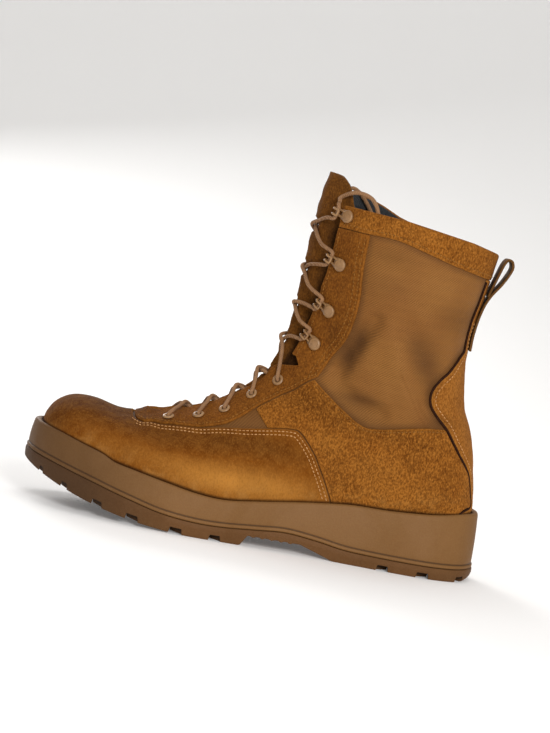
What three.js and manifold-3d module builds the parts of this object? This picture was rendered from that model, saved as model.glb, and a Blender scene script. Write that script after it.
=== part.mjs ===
// A left combat boot, eight-inch shaft, built piece by piece in millimetres.
// The toe points along -X, the outer (lateral) side faces -Y, +Z is up, and the origin is on the floor
// under the middle of the heel.
import * as THREE from "three";
import { mergeVertices } from "three/addons/utils/BufferGeometryUtils.js";
import Module from "manifold-3d";

const wasm = await Module();
wasm.setup();

// Driving sizes. The tables below are written for TABLE_SIZE and are scaled to these.
const SOLE_LENGTH = 310.5;
const BALL_WIDTH = 98;
const COLLAR_HEIGHT = 231;
const TABLE_SIZE = { soleLength: 310.5, ballWidth: 98, collarHeight: 231 };
const SCALE = {
  x: SOLE_LENGTH / TABLE_SIZE.soleLength,
  y: BALL_WIDTH / TABLE_SIZE.ballWidth,
  z: COLLAR_HEIGHT / TABLE_SIZE.collarHeight,
};

// Thicknesses and gaps.
const WALL = 2;
const SUEDE = 1.5;
const GAP = 0.3;
const INSOLE_THICKNESS = 4;
const TONGUE_THICKNESS = 2.4;

// Sections of the last, from the toe to above the collar. Each lies in a plane across the boot through its
// top point and its low point. lateral and medial are the half widths from the centre plane, ridge is where
// the top and low points lie across it, widest is the share of the way down at which the section is widest,
// and crown and keel are the roundness above and below that (2 is an ellipse, more is squarer).
const SECTIONS = [
  { topX: -268, topZ: 50, lowX: -268, lowZ: 48, lateral: -9, medial: 9, ridge: 9, widest: 0.5, crown: 2, keel: 2 },
  { topX: -266, topZ: 58, lowX: -266, lowZ: 42.5, lateral: 6, medial: 24, ridge: 8.5, widest: 0.52, crown: 2.2, keel: 2.4 },
  { topX: -260.5, topZ: 65.5, lowX: -260.5, lowZ: 37.6, lateral: 18, medial: 33, ridge: 8, widest: 0.55, crown: 2.3, keel: 2.8 },
  { topX: -251, topZ: 70, lowX: -251, lowZ: 35, lateral: 28, medial: 39.5, ridge: 7, widest: 0.58, crown: 2.3, keel: 3.2 },
  { topX: -238, topZ: 70.3, lowX: -238, lowZ: 32.6, lateral: 36.5, medial: 44, ridge: 6, widest: 0.61, crown: 2.25, keel: 3.6 },
  { topX: -222, topZ: 67.8, lowX: -222, lowZ: 29.8, lateral: 43, medial: 47, ridge: 5, widest: 0.64, crown: 2.15, keel: 3.8 },
  { topX: -204, topZ: 69.6, lowX: -204, lowZ: 27, lateral: 47.3, medial: 47.2, ridge: 4, widest: 0.67, crown: 2.05, keel: 4 },
  { topX: -186, topZ: 74, lowX: -186, lowZ: 24.3, lateral: 49, medial: 45.5, ridge: 4, widest: 0.71, crown: 1.95, keel: 4 },
  { topX: -168, topZ: 80, lowX: -167, lowZ: 21.7, lateral: 48.2, medial: 41.5, ridge: 3.5, widest: 0.74, crown: 1.85, keel: 4 },
  { topX: -151, topZ: 89.5, lowX: -143, lowZ: 19.5, lateral: 45.5, medial: 36.5, ridge: 3, widest: 0.77, crown: 1.8, keel: 4 },
  { topX: -138, topZ: 101, lowX: -114, lowZ: 21.5, lateral: 41, medial: 32.5, ridge: 2.5, widest: 0.79, crown: 1.75, keel: 4 },
  { topX: -129, topZ: 112, lowX: -84, lowZ: 26, lateral: 37.5, medial: 31, ridge: 2, widest: 0.81, crown: 1.75, keel: 3.8 },
  { topX: -123, topZ: 122, lowX: -54, lowZ: 29.8, lateral: 35.6, medial: 31.5, ridge: 1, widest: 0.81, crown: 1.75, keel: 3.6 },
  { topX: -119.5, topZ: 131, lowX: -25, lowZ: 31.5, lateral: 34.8, medial: 32.4, ridge: 0, widest: 0.8, crown: 1.78, keel: 3.4 },
  { topX: -117.5, topZ: 139, lowX: 1, lowZ: 32.5, lateral: 34.4, medial: 33.2, ridge: 0, widest: 0.78, crown: 1.8, keel: 3.1 },
  { topX: -116.4, topZ: 146, lowX: 17, lowZ: 35.5, lateral: 34.2, medial: 33.6, ridge: 0, widest: 0.75, crown: 1.8, keel: 2.9 },
  { topX: -115.5, topZ: 152, lowX: 23.6, lowZ: 44, lateral: 34.4, medial: 34.2, ridge: 0, widest: 0.71, crown: 1.8, keel: 2.7 },
  { topX: -114.8, topZ: 158, lowX: 22.8, lowZ: 57, lateral: 35, medial: 35, ridge: 0, widest: 0.67, crown: 1.8, keel: 2.5 },
  { topX: -114.2, topZ: 164, lowX: 20.2, lowZ: 71, lateral: 36, medial: 36, ridge: 0, widest: 0.63, crown: 1.8, keel: 2.35 },
  { topX: -113.8, topZ: 170, lowX: 17, lowZ: 86, lateral: 37, medial: 37, ridge: 0, widest: 0.59, crown: 1.8, keel: 2.2 },
  { topX: -113.4, topZ: 177, lowX: 11.6, lowZ: 101, lateral: 38, medial: 38, ridge: 0, widest: 0.56, crown: 1.8, keel: 2.1 },
  { topX: -113, topZ: 184, lowX: 5.2, lowZ: 115, lateral: 39.5, medial: 39.5, ridge: 0, widest: 0.54, crown: 1.8, keel: 2.1 },
  { topX: -112.6, topZ: 192, lowX: 2.8, lowZ: 130, lateral: 41, medial: 41, ridge: 0, widest: 0.53, crown: 1.8, keel: 2.1 },
  { topX: -112.2, topZ: 201, lowX: 0.9, lowZ: 147, lateral: 42.5, medial: 42.5, ridge: 0, widest: 0.52, crown: 1.8, keel: 2.1 },
  { topX: -111.6, topZ: 211, lowX: 0.8, lowZ: 164, lateral: 43.8, medial: 43.8, ridge: 0, widest: 0.52, crown: 1.8, keel: 2.1 },
  { topX: -111, topZ: 222, lowX: 3.6, lowZ: 183, lateral: 45, medial: 45, ridge: 0, widest: 0.51, crown: 1.8, keel: 2.1 },
  { topX: -110, topZ: 234, lowX: 6.6, lowZ: 203, lateral: 46, medial: 46, ridge: 0, widest: 0.5, crown: 1.8, keel: 2.1 },
  { topX: -108.5, topZ: 248, lowX: 9.2, lowZ: 222, lateral: 46.5, medial: 46.5, ridge: 0, widest: 0.5, crown: 1.8, keel: 2.1 },
  { topX: -106.5, topZ: 264, lowX: 11.8, lowZ: 241, lateral: 47, medial: 47, ridge: 0, widest: 0.5, crown: 1.8, keel: 2.1 },
];

// Plan outline of the sole at its widest level, heel to toe.
const SOLE_OUTLINE = [
  { x: 33, lateral: 0, medial: 0 },
  { x: 30.5, lateral: 15, medial: 15 },
  { x: 22, lateral: 27.5, medial: 27.5 },
  { x: 6, lateral: 36.5, medial: 36 },
  { x: -18, lateral: 40.3, medial: 39 },
  { x: -48, lateral: 41, medial: 38 },
  { x: -80, lateral: 42, medial: 36 },
  { x: -110, lateral: 46, medial: 37.5 },
  { x: -138, lateral: 51, medial: 42.5 },
  { x: -163, lateral: 55, medial: 48.5 },
  { x: -187, lateral: 56, medial: 53 },
  { x: -210, lateral: 53.5, medial: 54.5 },
  { x: -231, lateral: 47, medial: 52.5 },
  { x: -250, lateral: 36.5, medial: 47.5 },
  { x: -264, lateral: 23.5, medial: 38 },
  { x: -273.5, lateral: 8, medial: 25 },
  { x: -277.5, lateral: -8, medial: 8 },
];

// Heights along the sole: bed is the tray floor that carries the foot, rim is the top edge of the midsole
// wall, and seam is where the midsole meets the outsole.
const SOLE_HEIGHTS = [
  { x: 34, bed: 40, rim: 46.5, seam: 9.5 },
  { x: 22, bed: 39.5, rim: 45.8, seam: 8.6 },
  { x: 0, bed: 37.5, rim: 42.6, seam: 8.2 },
  { x: -30, bed: 35.6, rim: 40, seam: 8.2 },
  { x: -54, bed: 34, rim: 39.2, seam: 8.8 },
  { x: -74, bed: 31.8, rim: 36.8, seam: 11.4 },
  { x: -95, bed: 28.6, rim: 33.6, seam: 13.2 },
  { x: -115, bed: 25.6, rim: 30.4, seam: 11.6 },
  { x: -137, bed: 23.2, rim: 27.6, seam: 9.8 },
  { x: -156, bed: 24.2, rim: 28.6, seam: 9.8 },
  { x: -178, bed: 27.2, rim: 32.2, seam: 12 },
  { x: -200, bed: 30.4, rim: 36, seam: 16.8 },
  { x: -214, bed: 32.6, rim: 38.4, seam: 20 },
  { x: -224, bed: 34.4, rim: 42.2, seam: 22.4 },
  { x: -240, bed: 37.4, rim: 45.8, seam: 25.8 },
  { x: -256, bed: 40.4, rim: 49.2, seam: 29 },
  { x: -278, bed: 44.4, rim: 52.4, seam: 32.6 },
];

// A smooth curve through column key of the rows, at row number t (0 to the last row).
function along(rows, key, t) {
  const last = rows.length - 1;
  const i = Math.min(Math.max(Math.floor(t), 0), last - 1);
  const f = t - i;
  const value = (n) => rows[Math.min(Math.max(n, 0), last)][key];
  const before = i === 0 ? 2 * value(0) - value(1) : value(i - 1);
  const after = i === last - 1 ? 2 * value(last) - value(last - 1) : value(i + 2);
  const [b, c] = [value(i), value(i + 1)];
  const slope = (c - before) / 2;
  const nextSlope = (after - b) / 2;
  const rise = b - c;
  return b + f * (slope + f * (-3 * rise - 2 * slope - nextSlope + f * (2 * rise + slope + nextSlope)));
}

// The height column key of SOLE_HEIGHTS at length x.
function soleHeight(key, x) {
  const rows = SOLE_HEIGHTS;
  const tableX = x / SCALE.x;
  const i = rows.findIndex((row) => row.x <= tableX);
  if (i <= 0) return rows[i === 0 ? 0 : rows.length - 1][key] * SCALE.z;
  const f = (rows[i - 1].x - tableX) / (rows[i - 1].x - rows[i].x);
  return along(rows, key, i - 1 + f) * SCALE.z;
}

// A point of the last: s is the section number, turn runs from 0 at the top round the lateral side to 0.5 at
// the bottom or back, and on round the medial side to 1.
function lastPoint(s, turn) {
  const of = (key) => along(SECTIONS, key, s);
  const lateral = turn < 0.5;
  const angle = 2 * Math.PI * (lateral ? turn : 1 - turn);
  const side = lateral ? -of("lateral") : of("medial");
  const above = angle < Math.PI / 2;
  const power = 2 / of(above ? "crown" : "keel");
  const across = Math.pow(Math.abs(Math.sin(angle)), power);
  const down = Math.pow(Math.abs(Math.cos(angle)), power);
  const widest = of("widest");
  const share = above ? widest * (1 - down) : widest + (1 - widest) * down;
  const [topX, topZ, lowX, lowZ, ridge] = ["topX", "topZ", "lowX", "lowZ", "ridge"].map(of);
  return new THREE.Vector3(
    (topX + (lowX - topX) * share) * SCALE.x,
    (ridge + (side - ridge) * across) * SCALE.y,
    (topZ + (lowZ - topZ) * share) * SCALE.z,
  );
}

// The same point moved out along the surface normal by offset.
function offsetPoint(s, turn, offset) {
  const ds = 0.02;
  const dt = 0.004;
  const end = SECTIONS.length - 1;
  const point = lastPoint(s, turn);
  if (s < ds) return point.add(new THREE.Vector3(-offset, 0, 0));
  const wrap = (t) => (t + 1) % 1;
  const alongS = lastPoint(Math.min(s + ds, end), turn).sub(lastPoint(Math.max(s - ds, 0), turn));
  const alongTurn = lastPoint(s, wrap(turn + dt)).sub(lastPoint(s, wrap(turn - dt)));
  const normal = alongTurn.cross(alongS).normalize();
  return point.addScaledVector(normal, offset);
}

// A closed manifold solid from a three.js geometry or from a list of points and triangles.
function solidOf(geometry) {
  const bare = geometry.index ? geometry.toNonIndexed() : geometry.clone();
  bare.deleteAttribute("normal");
  bare.deleteAttribute("uv");
  const merged = mergeVertices(bare, 1e-4);
  const made = new wasm.Manifold(
    new wasm.Mesh({
      numProp: 3,
      vertProperties: new Float32Array(merged.attributes.position.array),
      triVerts: new Uint32Array(merged.index.array),
    }),
  );
  if (made.volume() >= 0) return made;
  const flipped = new Uint32Array(merged.index.array);
  for (let i = 0; i < flipped.length; i += 3) {
    [flipped[i + 1], flipped[i + 2]] = [flipped[i + 2], flipped[i + 1]];
  }
  return new wasm.Manifold(
    new wasm.Mesh({
      numProp: 3,
      vertProperties: new Float32Array(merged.attributes.position.array),
      triVerts: flipped,
    }),
  );
}

function geometryOf(points, triangles) {
  const geometry = new THREE.BufferGeometry();
  geometry.setAttribute("position", new THREE.Float32BufferAttribute(points.flatMap((p) => p.toArray()), 3));
  geometry.setIndex(triangles.flat());
  return geometry;
}

// Turn values round a section: more on the sides and top, fewer across the hidden bottom.
const TOP_STEPS = 6;
const LOW_STEPS = 4;
const HALF_TURNS = [
  ...Array.from({ length: TOP_STEPS }, (_, i) => (0.25 * i) / TOP_STEPS),
  ...Array.from({ length: LOW_STEPS + 1 }, (_, i) => 0.25 + (0.25 * i) / LOW_STEPS),
];
const TURNS = [...HALF_TURNS, ...HALF_TURNS.slice(1, -1).reverse().map((t) => 1 - t)];

// Section numbers that carry a ring of points, closer together where the shape turns.
const RINGS = [1, 2, 3, 4, 5, 6, 7, 8, 9, 10, 11, 12, 13, 14, 15, 16, 17, 18, 19.3, 20.8, 22.5, 25];

// The last grown by offset, as a closed solid from the toe to section number end.
function lastForm(offset, end) {
  const points = [offsetPoint(0, 0, offset)];
  const triangles = [];
  const n = TURNS.length;
  const rings = [...RINGS, end];
  rings.forEach((s, ring) => {
    TURNS.forEach((turn) => points.push(offsetPoint(s, turn, offset)));
    const start = 1 + ring * n;
    for (let i = 0; i < n; i++) {
      const j = (i + 1) % n;
      if (ring === 0) {
        triangles.push([0, start + j, start + i]);
      } else {
        triangles.push([start - n + i, start - n + j, start + i], [start - n + j, start + j, start + i]);
      }
    }
  });
  const lastRing = 1 + (rings.length - 1) * n;
  const centre = points.length;
  const total = new THREE.Vector3();
  for (let i = 0; i < n; i++) total.add(points[lastRing + i]);
  points.push(total.divideScalar(n));
  for (let i = 0; i < n; i++) triangles.push([lastRing + i, lastRing + ((i + 1) % n), centre]);
  return solidOf(geometryOf(points, triangles));
}

// A prism across the boot: the side outline, a THREE.Shape in X and Z, from yFrom to yTo.
const REACH = 90;
function prism(shape, yFrom = -REACH, yTo = REACH, curveSegments = 6) {
  const geometry = new THREE.ExtrudeGeometry(shape, { depth: yTo - yFrom, bevelEnabled: false, curveSegments });
  geometry.rotateX(Math.PI / 2);
  geometry.translate(0, yTo, 0);
  return solidOf(geometry);
}

function outline(points) {
  return new THREE.Shape(points.map(([x, z]) => new THREE.Vector2(x * SCALE.x, z * SCALE.z)));
}

// The sole outline as a closed curve, heel to toe on the lateral side and back on the medial side.
const outlinePoint = (row, side) =>
  new THREE.Vector3(row.x * SCALE.x, (side === "lateral" ? -row.lateral : row.medial) * SCALE.y, 0);
const OUTLINE_CURVE = new THREE.CatmullRomCurve3(
  [
    ...SOLE_OUTLINE.map((row) => outlinePoint(row, "lateral")),
    ...SOLE_OUTLINE.slice(1, -1).reverse().map((row) => outlinePoint(row, "medial")),
  ],
  true,
  "centripetal",
);
const OUTLINE_STEPS = 22;
const SOLE_EDGE = Array.from({ length: 2 * OUTLINE_STEPS }, (_, i) => {
  const u = i / (2 * OUTLINE_STEPS);
  const tangent = OUTLINE_CURVE.getTangent(u);
  return { point: OUTLINE_CURVE.getPoint(u), out: new THREE.Vector2(-tangent.y, tangent.x) };
});

// A solid stacked from copies of the sole outline. Each level gives how far it stands out from the outline
// and its height at length x.
function soleStack(levels) {
  const n = SOLE_EDGE.length;
  const points = [];
  const triangles = [];
  levels.forEach(({ out, height }, k) => {
    SOLE_EDGE.forEach((edge) => {
      const x = edge.point.x + edge.out.x * out;
      points.push(new THREE.Vector3(x, edge.point.y + edge.out.y * out, height(edge.point.x)));
    });
    if (k === 0) return;
    for (let i = 0; i < n; i++) {
      const j = (i + 1) % n;
      const [a, b, c, d] = [(k - 1) * n + i, (k - 1) * n + j, k * n + i, k * n + j];
      triangles.push([a, c, b], [b, c, d]);
    }
  });
  const cap = (start, flip) => {
    for (let i = 0; i < OUTLINE_STEPS; i++) {
      const [a, b] = [start + i, start + i + 1];
      const [c, d] = [start + ((n - i) % n), start + ((n - i - 1) % n)];
      const faces = i === 0 ? [[a, b, d]] : i === OUTLINE_STEPS - 1 ? [[a, b, c]] : [[a, b, c], [b, d, c]];
      faces.forEach((face) => triangles.push(flip ? face.reverse() : face));
    }
  };
  cap(0, false);
  cap((levels.length - 1) * n, true);
  return solidOf(geometryOf(points, triangles));
}

// Everything above the line of heights key, moved by lift, as a prism.
const CEILING = 300;
function aboveLine(key, lift, highest = CEILING, steps = 18) {
  const [from, to] = [45, -290];
  const xs = Array.from({ length: steps + 1 }, (_, i) => from + ((to - from) * i) / steps);
  const line = xs.map((x) => [x, soleHeight(key, x * SCALE.x) / SCALE.z + lift]);
  const top = highest === CEILING ? [[to, CEILING], [from, CEILING]] : line.map(([x, z]) => [x, z + highest]).reverse();
  return prism(outline([...line, ...top]));
}

const END_SECTION = SECTIONS.length - 1;
const OUTER_END = END_SECTION - 0.4;
const base = lastForm(0, OUTER_END);
const hollow = lastForm(-WALL, END_SECTION);
const skin = lastForm(GAP + SUEDE, OUTER_END);
const underSkin = lastForm(GAP, END_SECTION);
const fit = lastForm(2 * GAP + SUEDE, OUTER_END);
const footRoom = lastForm(-WALL - 0.5, OUTER_END);

// The collar's top edge on each side, from the throat to the back.
const COLLAR_LATERAL = [[-130, 231.5], [-95, 231], [-56, 228.6], [-10, 222.6], [6, 219], [30, 214]];
const COLLAR_MEDIAL = [[-130, 237], [-93, 236], [-80, 234.6], [-66, 231], [-50, 228], [-10, 222.6], [6, 219], [30, 214]];
function aboveCollar(lift) {
  const cutter = (line, yFrom, yTo) =>
    prism(outline([...line.map(([x, z]) => [x, z + lift]), [30, CEILING], [-130, CEILING]]), yFrom, yTo);
  return cutter(COLLAR_LATERAL, -REACH, 0).add(cutter(COLLAR_MEDIAL, -0.001, REACH));
}

// The throat: a slot that follows the ridge of the last. gape is its half width.
const THROAT = [
  { section: 6.2, gape: 8 },
  { section: 6.5, gape: 11 },
  { section: 8, gape: 12 },
  { section: 10, gape: 13.5 },
  { section: 12, gape: 17 },
  { section: 14, gape: 20.5 },
  { section: 18, gape: 23.5 },
  { section: 23, gape: 25.5 },
  { section: 28, gape: 27 },
];
function throatSlot(extra) {
  const [outward, inward] = [18, 26];
  const points = [];
  const triangles = [];
  const steps = 20;
  for (let k = 0; k <= steps; k++) {
    const t = ((THROAT.length - 1) * k) / steps;
    const s = along(THROAT, "section", t);
    const gape = along(THROAT, "gape", t) + extra;
    const top = lastPoint(s, 0);
    const out = offsetPoint(s, 0, 1).sub(top);
    for (const [along, across] of [[outward, -1], [outward, 1], [-inward, 1], [-inward, -1]]) {
      points.push(top.clone().addScaledVector(out, along).add(new THREE.Vector3(0, across * gape, 0)));
    }
    if (k === 0) continue;
    for (let i = 0; i < 4; i++) {
      const [a, b] = [(k - 1) * 4 + i, (k - 1) * 4 + ((i + 1) % 4)];
      triangles.push([a, b, a + 4], [b, b + 4, a + 4]);
    }
  }
  const end = steps * 4;
  triangles.push([0, 2, 1], [0, 3, 2], [end, end + 1, end + 2], [end, end + 2, end + 3]);
  return solidOf(geometryOf(points, triangles));
}

const bedUp = aboveLine("bed", GAP);
const slot = throatSlot(0);

// The facing steps back between its eyelet part and its hook part.
const FACING_STEP = [[-145, 119.4], [-120, 118.8], [-107, 121.2], [-110, 127], [-145, 131]];
const opening = slot.add(aboveCollar(0)).add(prism(outline(FACING_STEP)));

function makeUpper(holes) {
  return base.subtract(hollow).subtract(opening).subtract(holes).intersect(bedUp);
}

function makeInsole() {
  return footRoom.intersect(aboveLine("bed", GAP, INSOLE_THICKNESS));
}

const RIM_INSET = -3.2;
function makeMidsole() {
  const block = soleStack([
    { out: -0.4, height: (x) => soleHeight("seam", x) + GAP },
    { out: 0, height: (x) => soleHeight("seam", x) + 2.4 },
    { out: -1, height: (x) => soleHeight("seam", x) + 3.2 },
    { out: -0.8, height: (x) => soleHeight("seam", x) + 4.2 },
    { out: RIM_INSET + 0.8, height: (x) => soleHeight("rim", x) - 2 },
    { out: RIM_INSET - 0.4, height: (x) => soleHeight("rim", x) },
  ]);
  return block.subtract(fit.intersect(aboveLine("bed", 0)));
}

// The underside seen from the side: flat heel, heel breast, arch, flat ball and the arc of the toe spring.
const HEEL_FLAT = { back: 25, front: -61 };
const ARCH = { height: 7.3, back: -84, front: -119 };
const BALL_FLAT = { back: -123, front: -147 };
const TOE_SPRING_RADIUS = 345;
function treadSide(lift) {
  const arcEnd = -279;
  const steps = 6;
  const arc = Array.from({ length: steps + 1 }, (_, i) => {
    const x = BALL_FLAT.front + ((arcEnd - BALL_FLAT.front) * i) / steps;
    const dx = x - BALL_FLAT.front;
    return [x, TOE_SPRING_RADIUS - Math.sqrt(TOE_SPRING_RADIUS ** 2 - dx ** 2) + lift];
  });
  return outline([
    [60, 60],
    [60, 4.5 + lift],
    [34, 4.5 + lift],
    [HEEL_FLAT.back, lift],
    [HEEL_FLAT.front, lift],
    [ARCH.back, ARCH.height],
    [ARCH.front, ARCH.height],
    [BALL_FLAT.back, lift],
    ...arc,
    [-300, arc.at(-1)[1] + 4],
    [-300, 60],
  ]);
}

// Grooves across the tread: where they leave the edge, how wide they are there, how far in they run straight
// and how far forward they meet in the middle.
const TREAD_DEPTH = 3.8;
const GROOVES = [
  { x: -262, width: 4, straight: 10, lead: -4 },
  { x: -244, width: 6, straight: 16, lead: -5 },
  { x: -220, width: 7, straight: 20, lead: -7 },
  { x: -195.6, width: 8, straight: 20, lead: -8 },
  { x: -166, width: 8, straight: 20, lead: -8 },
  { x: -140, width: 7, straight: 17, lead: -7 },
  { x: -43, width: 5, straight: 14, lead: 7 },
  { x: -27, width: 6, straight: 14, lead: 7 },
  { x: -1, width: 7, straight: 14, lead: 7 },
];
const CHANNEL = { width: 4, side: 14 };
const CHANNEL_RUNS = [
  { from: -257, to: -128, middle: 3 },
  { from: -53, to: 20, middle: 1 },
];

function soleHalf(x, side) {
  const i = Math.max(SOLE_OUTLINE.findIndex((row) => row.x <= x), 1);
  const [a, b] = [SOLE_OUTLINE[i - 1], SOLE_OUTLINE[i]];
  return a[side] + ((b[side] - a[side]) * (a.x - x)) / (a.x - b.x);
}

// A prism standing up through the tread: the plan outline in X and Y.
function planPrism(points) {
  const shape = new THREE.Shape(points.map(([x, y]) => new THREE.Vector2(x * SCALE.x, y * SCALE.y)));
  const geometry = new THREE.ExtrudeGeometry(shape, { depth: 60, bevelEnabled: false });
  geometry.translate(0, 0, -10);
  return solidOf(geometry);
}

function makeOutsole() {
  const block = soleStack([
    { out: -2.4, height: () => -4 },
    { out: 0.4, height: (x) => soleHeight("seam", x) - 3 },
    { out: 0.4, height: (x) => soleHeight("seam", x) - 1 },
    { out: -0.4, height: (x) => soleHeight("seam", x) },
  ]);
  const across = GROOVES.map(({ x, width, straight, lead }) => {
    const [w, m] = [width / 2, CHANNEL.width / 2];
    const left = -(soleHalf(x, "lateral") - straight);
    const right = soleHalf(x, "medial") - straight;
    const middle = (left + right) / 2;
    return planPrism([
      [x - w, -REACH],
      [x - w, left],
      [x - m + lead, middle],
      [x - w, right],
      [x - w, REACH],
      [x + w, REACH],
      [x + w, right],
      [x + m + lead, middle],
      [x + w, left],
      [x + w, -REACH],
    ]);
  });
  const lengthwise = CHANNEL_RUNS.flatMap(({ from, to, middle }) =>
    [-CHANNEL.side, CHANNEL.side].map((y) => {
      const [low, high] = [middle + y - CHANNEL.width / 2, middle + y + CHANNEL.width / 2];
      return planPrism([[from, low], [to, low], [to, high], [from, high]]);
    }),
  );
  const grooves = [...across, ...lengthwise].reduce((all, one) => all.add(one));
  return block.intersect(prism(treadSide(0))).subtract(grooves.subtract(prism(treadSide(TREAD_DEPTH))));
}

// The tongue runs up the throat, tucked under both facings and bulging between them.
const TONGUE = [
  { section: 5.7, half: 13, free: 6, bulge: -3.4 },
  { section: 6.5, half: 14.5, free: 7, bulge: -3 },
  { section: 7.1, half: 16, free: 8, bulge: -1 },
  { section: 8, half: 18, free: 9.5, bulge: 0.8 },
  { section: 10, half: 21, free: 11, bulge: 1.8 },
  { section: 12, half: 25, free: 14.5, bulge: 3 },
  { section: 15, half: 28, free: 18.5, bulge: 3.8 },
  { section: 19, half: 30.5, free: 21, bulge: 4.2 },
  { section: 23, half: 31.5, free: 23, bulge: 4.4 },
  { section: 25.6, half: 29, free: 22.5, bulge: 4.4 },
  { section: 26.7, half: 22, free: 20, bulge: 4 },
  { section: 27.15, half: 14, free: 13, bulge: 3.4 },
];

// The turn at which section s of the last is y away from its ridge, above its widest line.
function turnAt(s, y) {
  const ridge = along(SECTIONS, "ridge", s);
  const side = y < 0 ? ridge + along(SECTIONS, "lateral", s) : along(SECTIONS, "medial", s) - ridge;
  const sine = Math.pow(Math.min(Math.abs(y) / side, 1), along(SECTIONS, "crown", s) / 2);
  const turn = Math.asin(sine) / (2 * Math.PI);
  return y < 0 ? turn : (1 - turn) % 1;
}

function makeTongue() {
  const steps = 16;
  const across = 6;
  const under = -WALL - 4 * GAP;
  const faces = [0, -TONGUE_THICKNESS].map((lift) => {
    const rows = [];
    for (let k = 0; k <= steps; k++) {
      const t = ((TONGUE.length - 1) * k) / steps;
      const [s, half, free, bulge] = ["section", "half", "free", "bulge"].map((key) => along(TONGUE, key, t));
      const row = [];
      for (let i = 0; i <= across; i++) {
        const y = Math.sign(i - 3) * [0, 0.58 * free, free, half][Math.abs(i - 3)];
        const rise = Math.max(0, 1 - (y / free) ** 2) ** 1.2;
        row.push(offsetPoint(s, turnAt(s, y), under + (bulge - under) * rise + lift));
      }
      rows.push(row);
    }
    return rows;
  });
  const n = across + 1;
  const points = faces.flat(2);
  const lower = (steps + 1) * n;
  const triangles = [];
  const quad = (a, b, c, d) => triangles.push([a, b, d], [b, c, d]);
  for (let k = 0; k < steps; k++) {
    for (let i = 0; i < across; i++) {
      const a = k * n + i;
      quad(a, a + 1, a + n + 1, a + n);
      quad(lower + a, lower + a + n, lower + a + n + 1, lower + a + 1);
    }
    const [left, right] = [k * n, k * n + across];
    quad(left, left + n, lower + left + n, lower + left);
    quad(right, lower + right, lower + right + n, right + n);
  }
  for (let i = 0; i < across; i++) {
    const [a, b] = [i, steps * n + i];
    quad(a, lower + a, lower + a + 1, a + 1);
    quad(b, b + 1, lower + b + 1, lower + b);
  }
  return solidOf(geometryOf(points, triangles));
}

// Panel outlines in the side view. Each list is one seam, shared by the panels on its two sides.
const SEAM_GAP = 0.35;
const shift = (points, dx, dz) => points.map(([x, z]) => [x + dx, z + dz]);
const WING_TOP = [
  [-213, 84], [-211, 69.2], [-203, 65.2], [-196, 66], [-188, 66.2], [-172.4, 67.3], [-152.5, 70.8],
  [-120.7, 76.9], [-103.8, 79.4], [-97.5, 78], [-88.9, 69.5], [-82.4, 60.5], [-70, 37.8], [-66, 20],
];
const FACING_LOW = [
  [-212.2, 90], [-210.2, 70], [-202.8, 65.8], [-196, 66.6], [-188, 66.8], [-172, 67.9], [-150, 74.4],
  [-140, 80.9], [-129, 88.7], [-115.4, 99.2], [-105, 107.4], [-95, 115.1],
];
const FACING_BACK = [[-93.2, 116.4], [-87, 129.9], [-79.7, 143.9], [-76.7, 157], [-76, 170], [-76.6, 182.4], [-78, 199.8], [-77.8, 215.4]];
const QUARTER_FRONT = [[-129.1, 87.6], [-120, 77.8]];
const QUARTER_TOP = [[-94.9, 114.2], [-86, 107.6], [-73.7, 99.3], [-59.3, 91.3], [-47.4, 91], [-19.7, 97.4], [-5.6, 98.9]];
const BACKSTAY_LOW = [[14, 20], [14, 43], [20.4, 49.5], [18.7, 59.6], [14.4, 72.8], [5.6, 84.9], [-4.8, 99]];
const BACKSTAY_HIGH = [
  [-11.6, 105.4], [-17.3, 112.7], [-18.5, 120.5], [-15.2, 128.8], [-9.4, 138.7], [-3, 151.3], [0.2, 158.3],
  [0.4, 166.2], [2, 181.7], [4.6, 200.5],
];
const CUFF_LOW = [[-140, 217.4], [-97.7, 216.7], [-80, 215.8], [-59.7, 215.3], [-39.8, 210.9], [-20, 206], [6.2, 200.8], [40, 194]];

const band = skin.subtract(underSkin).intersect(bedUp);
function panel(points, yFrom, yTo, cut = opening) {
  return band.intersect(prism(outline(points), yFrom, yTo)).subtract(cut);
}
const SIDES = { lateral: [-REACH, -GAP / 2], medial: [GAP / 2, REACH] };

function makeVamp() {
  return panel([...WING_TOP, [-66, 10], [-300, 10], [-300, 84]], -REACH, REACH);
}

function makeFacing(side, holes) {
  const seam = [...shift(FACING_LOW, 0, SEAM_GAP), ...FACING_BACK];
  return panel([...seam, [-97.7, 216.3], [-150, 217], [-215, 150]], ...SIDES[side], opening.add(holes));
}

function makeQuarter(side) {
  const under = WING_TOP.filter(([x, z]) => x > -119 && z < 80).reverse();
  const low = shift(FACING_LOW, 0, -SEAM_GAP).filter(([x]) => x > -128);
  return panel(
    [
      ...QUARTER_FRONT,
      [-119, 77.7],
      ...shift(under, SEAM_GAP, SEAM_GAP).reverse(),
      [-66, 10],
      [13.7, 10],
      ...shift(BACKSTAY_LOW, -SEAM_GAP, 0),
      ...[...QUARTER_TOP].reverse(),
      ...[...low].reverse(),
    ],
    ...SIDES[side],
  );
}

function makeBackstay() {
  return panel([[60, 10], [14, 10], ...BACKSTAY_LOW, ...BACKSTAY_HIGH, [8, 200], [60, 190]], -REACH, REACH);
}

function makeCuff(side) {
  return panel([...CUFF_LOW, [40, 300], [-140, 300]], ...SIDES[side]);
}

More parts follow.
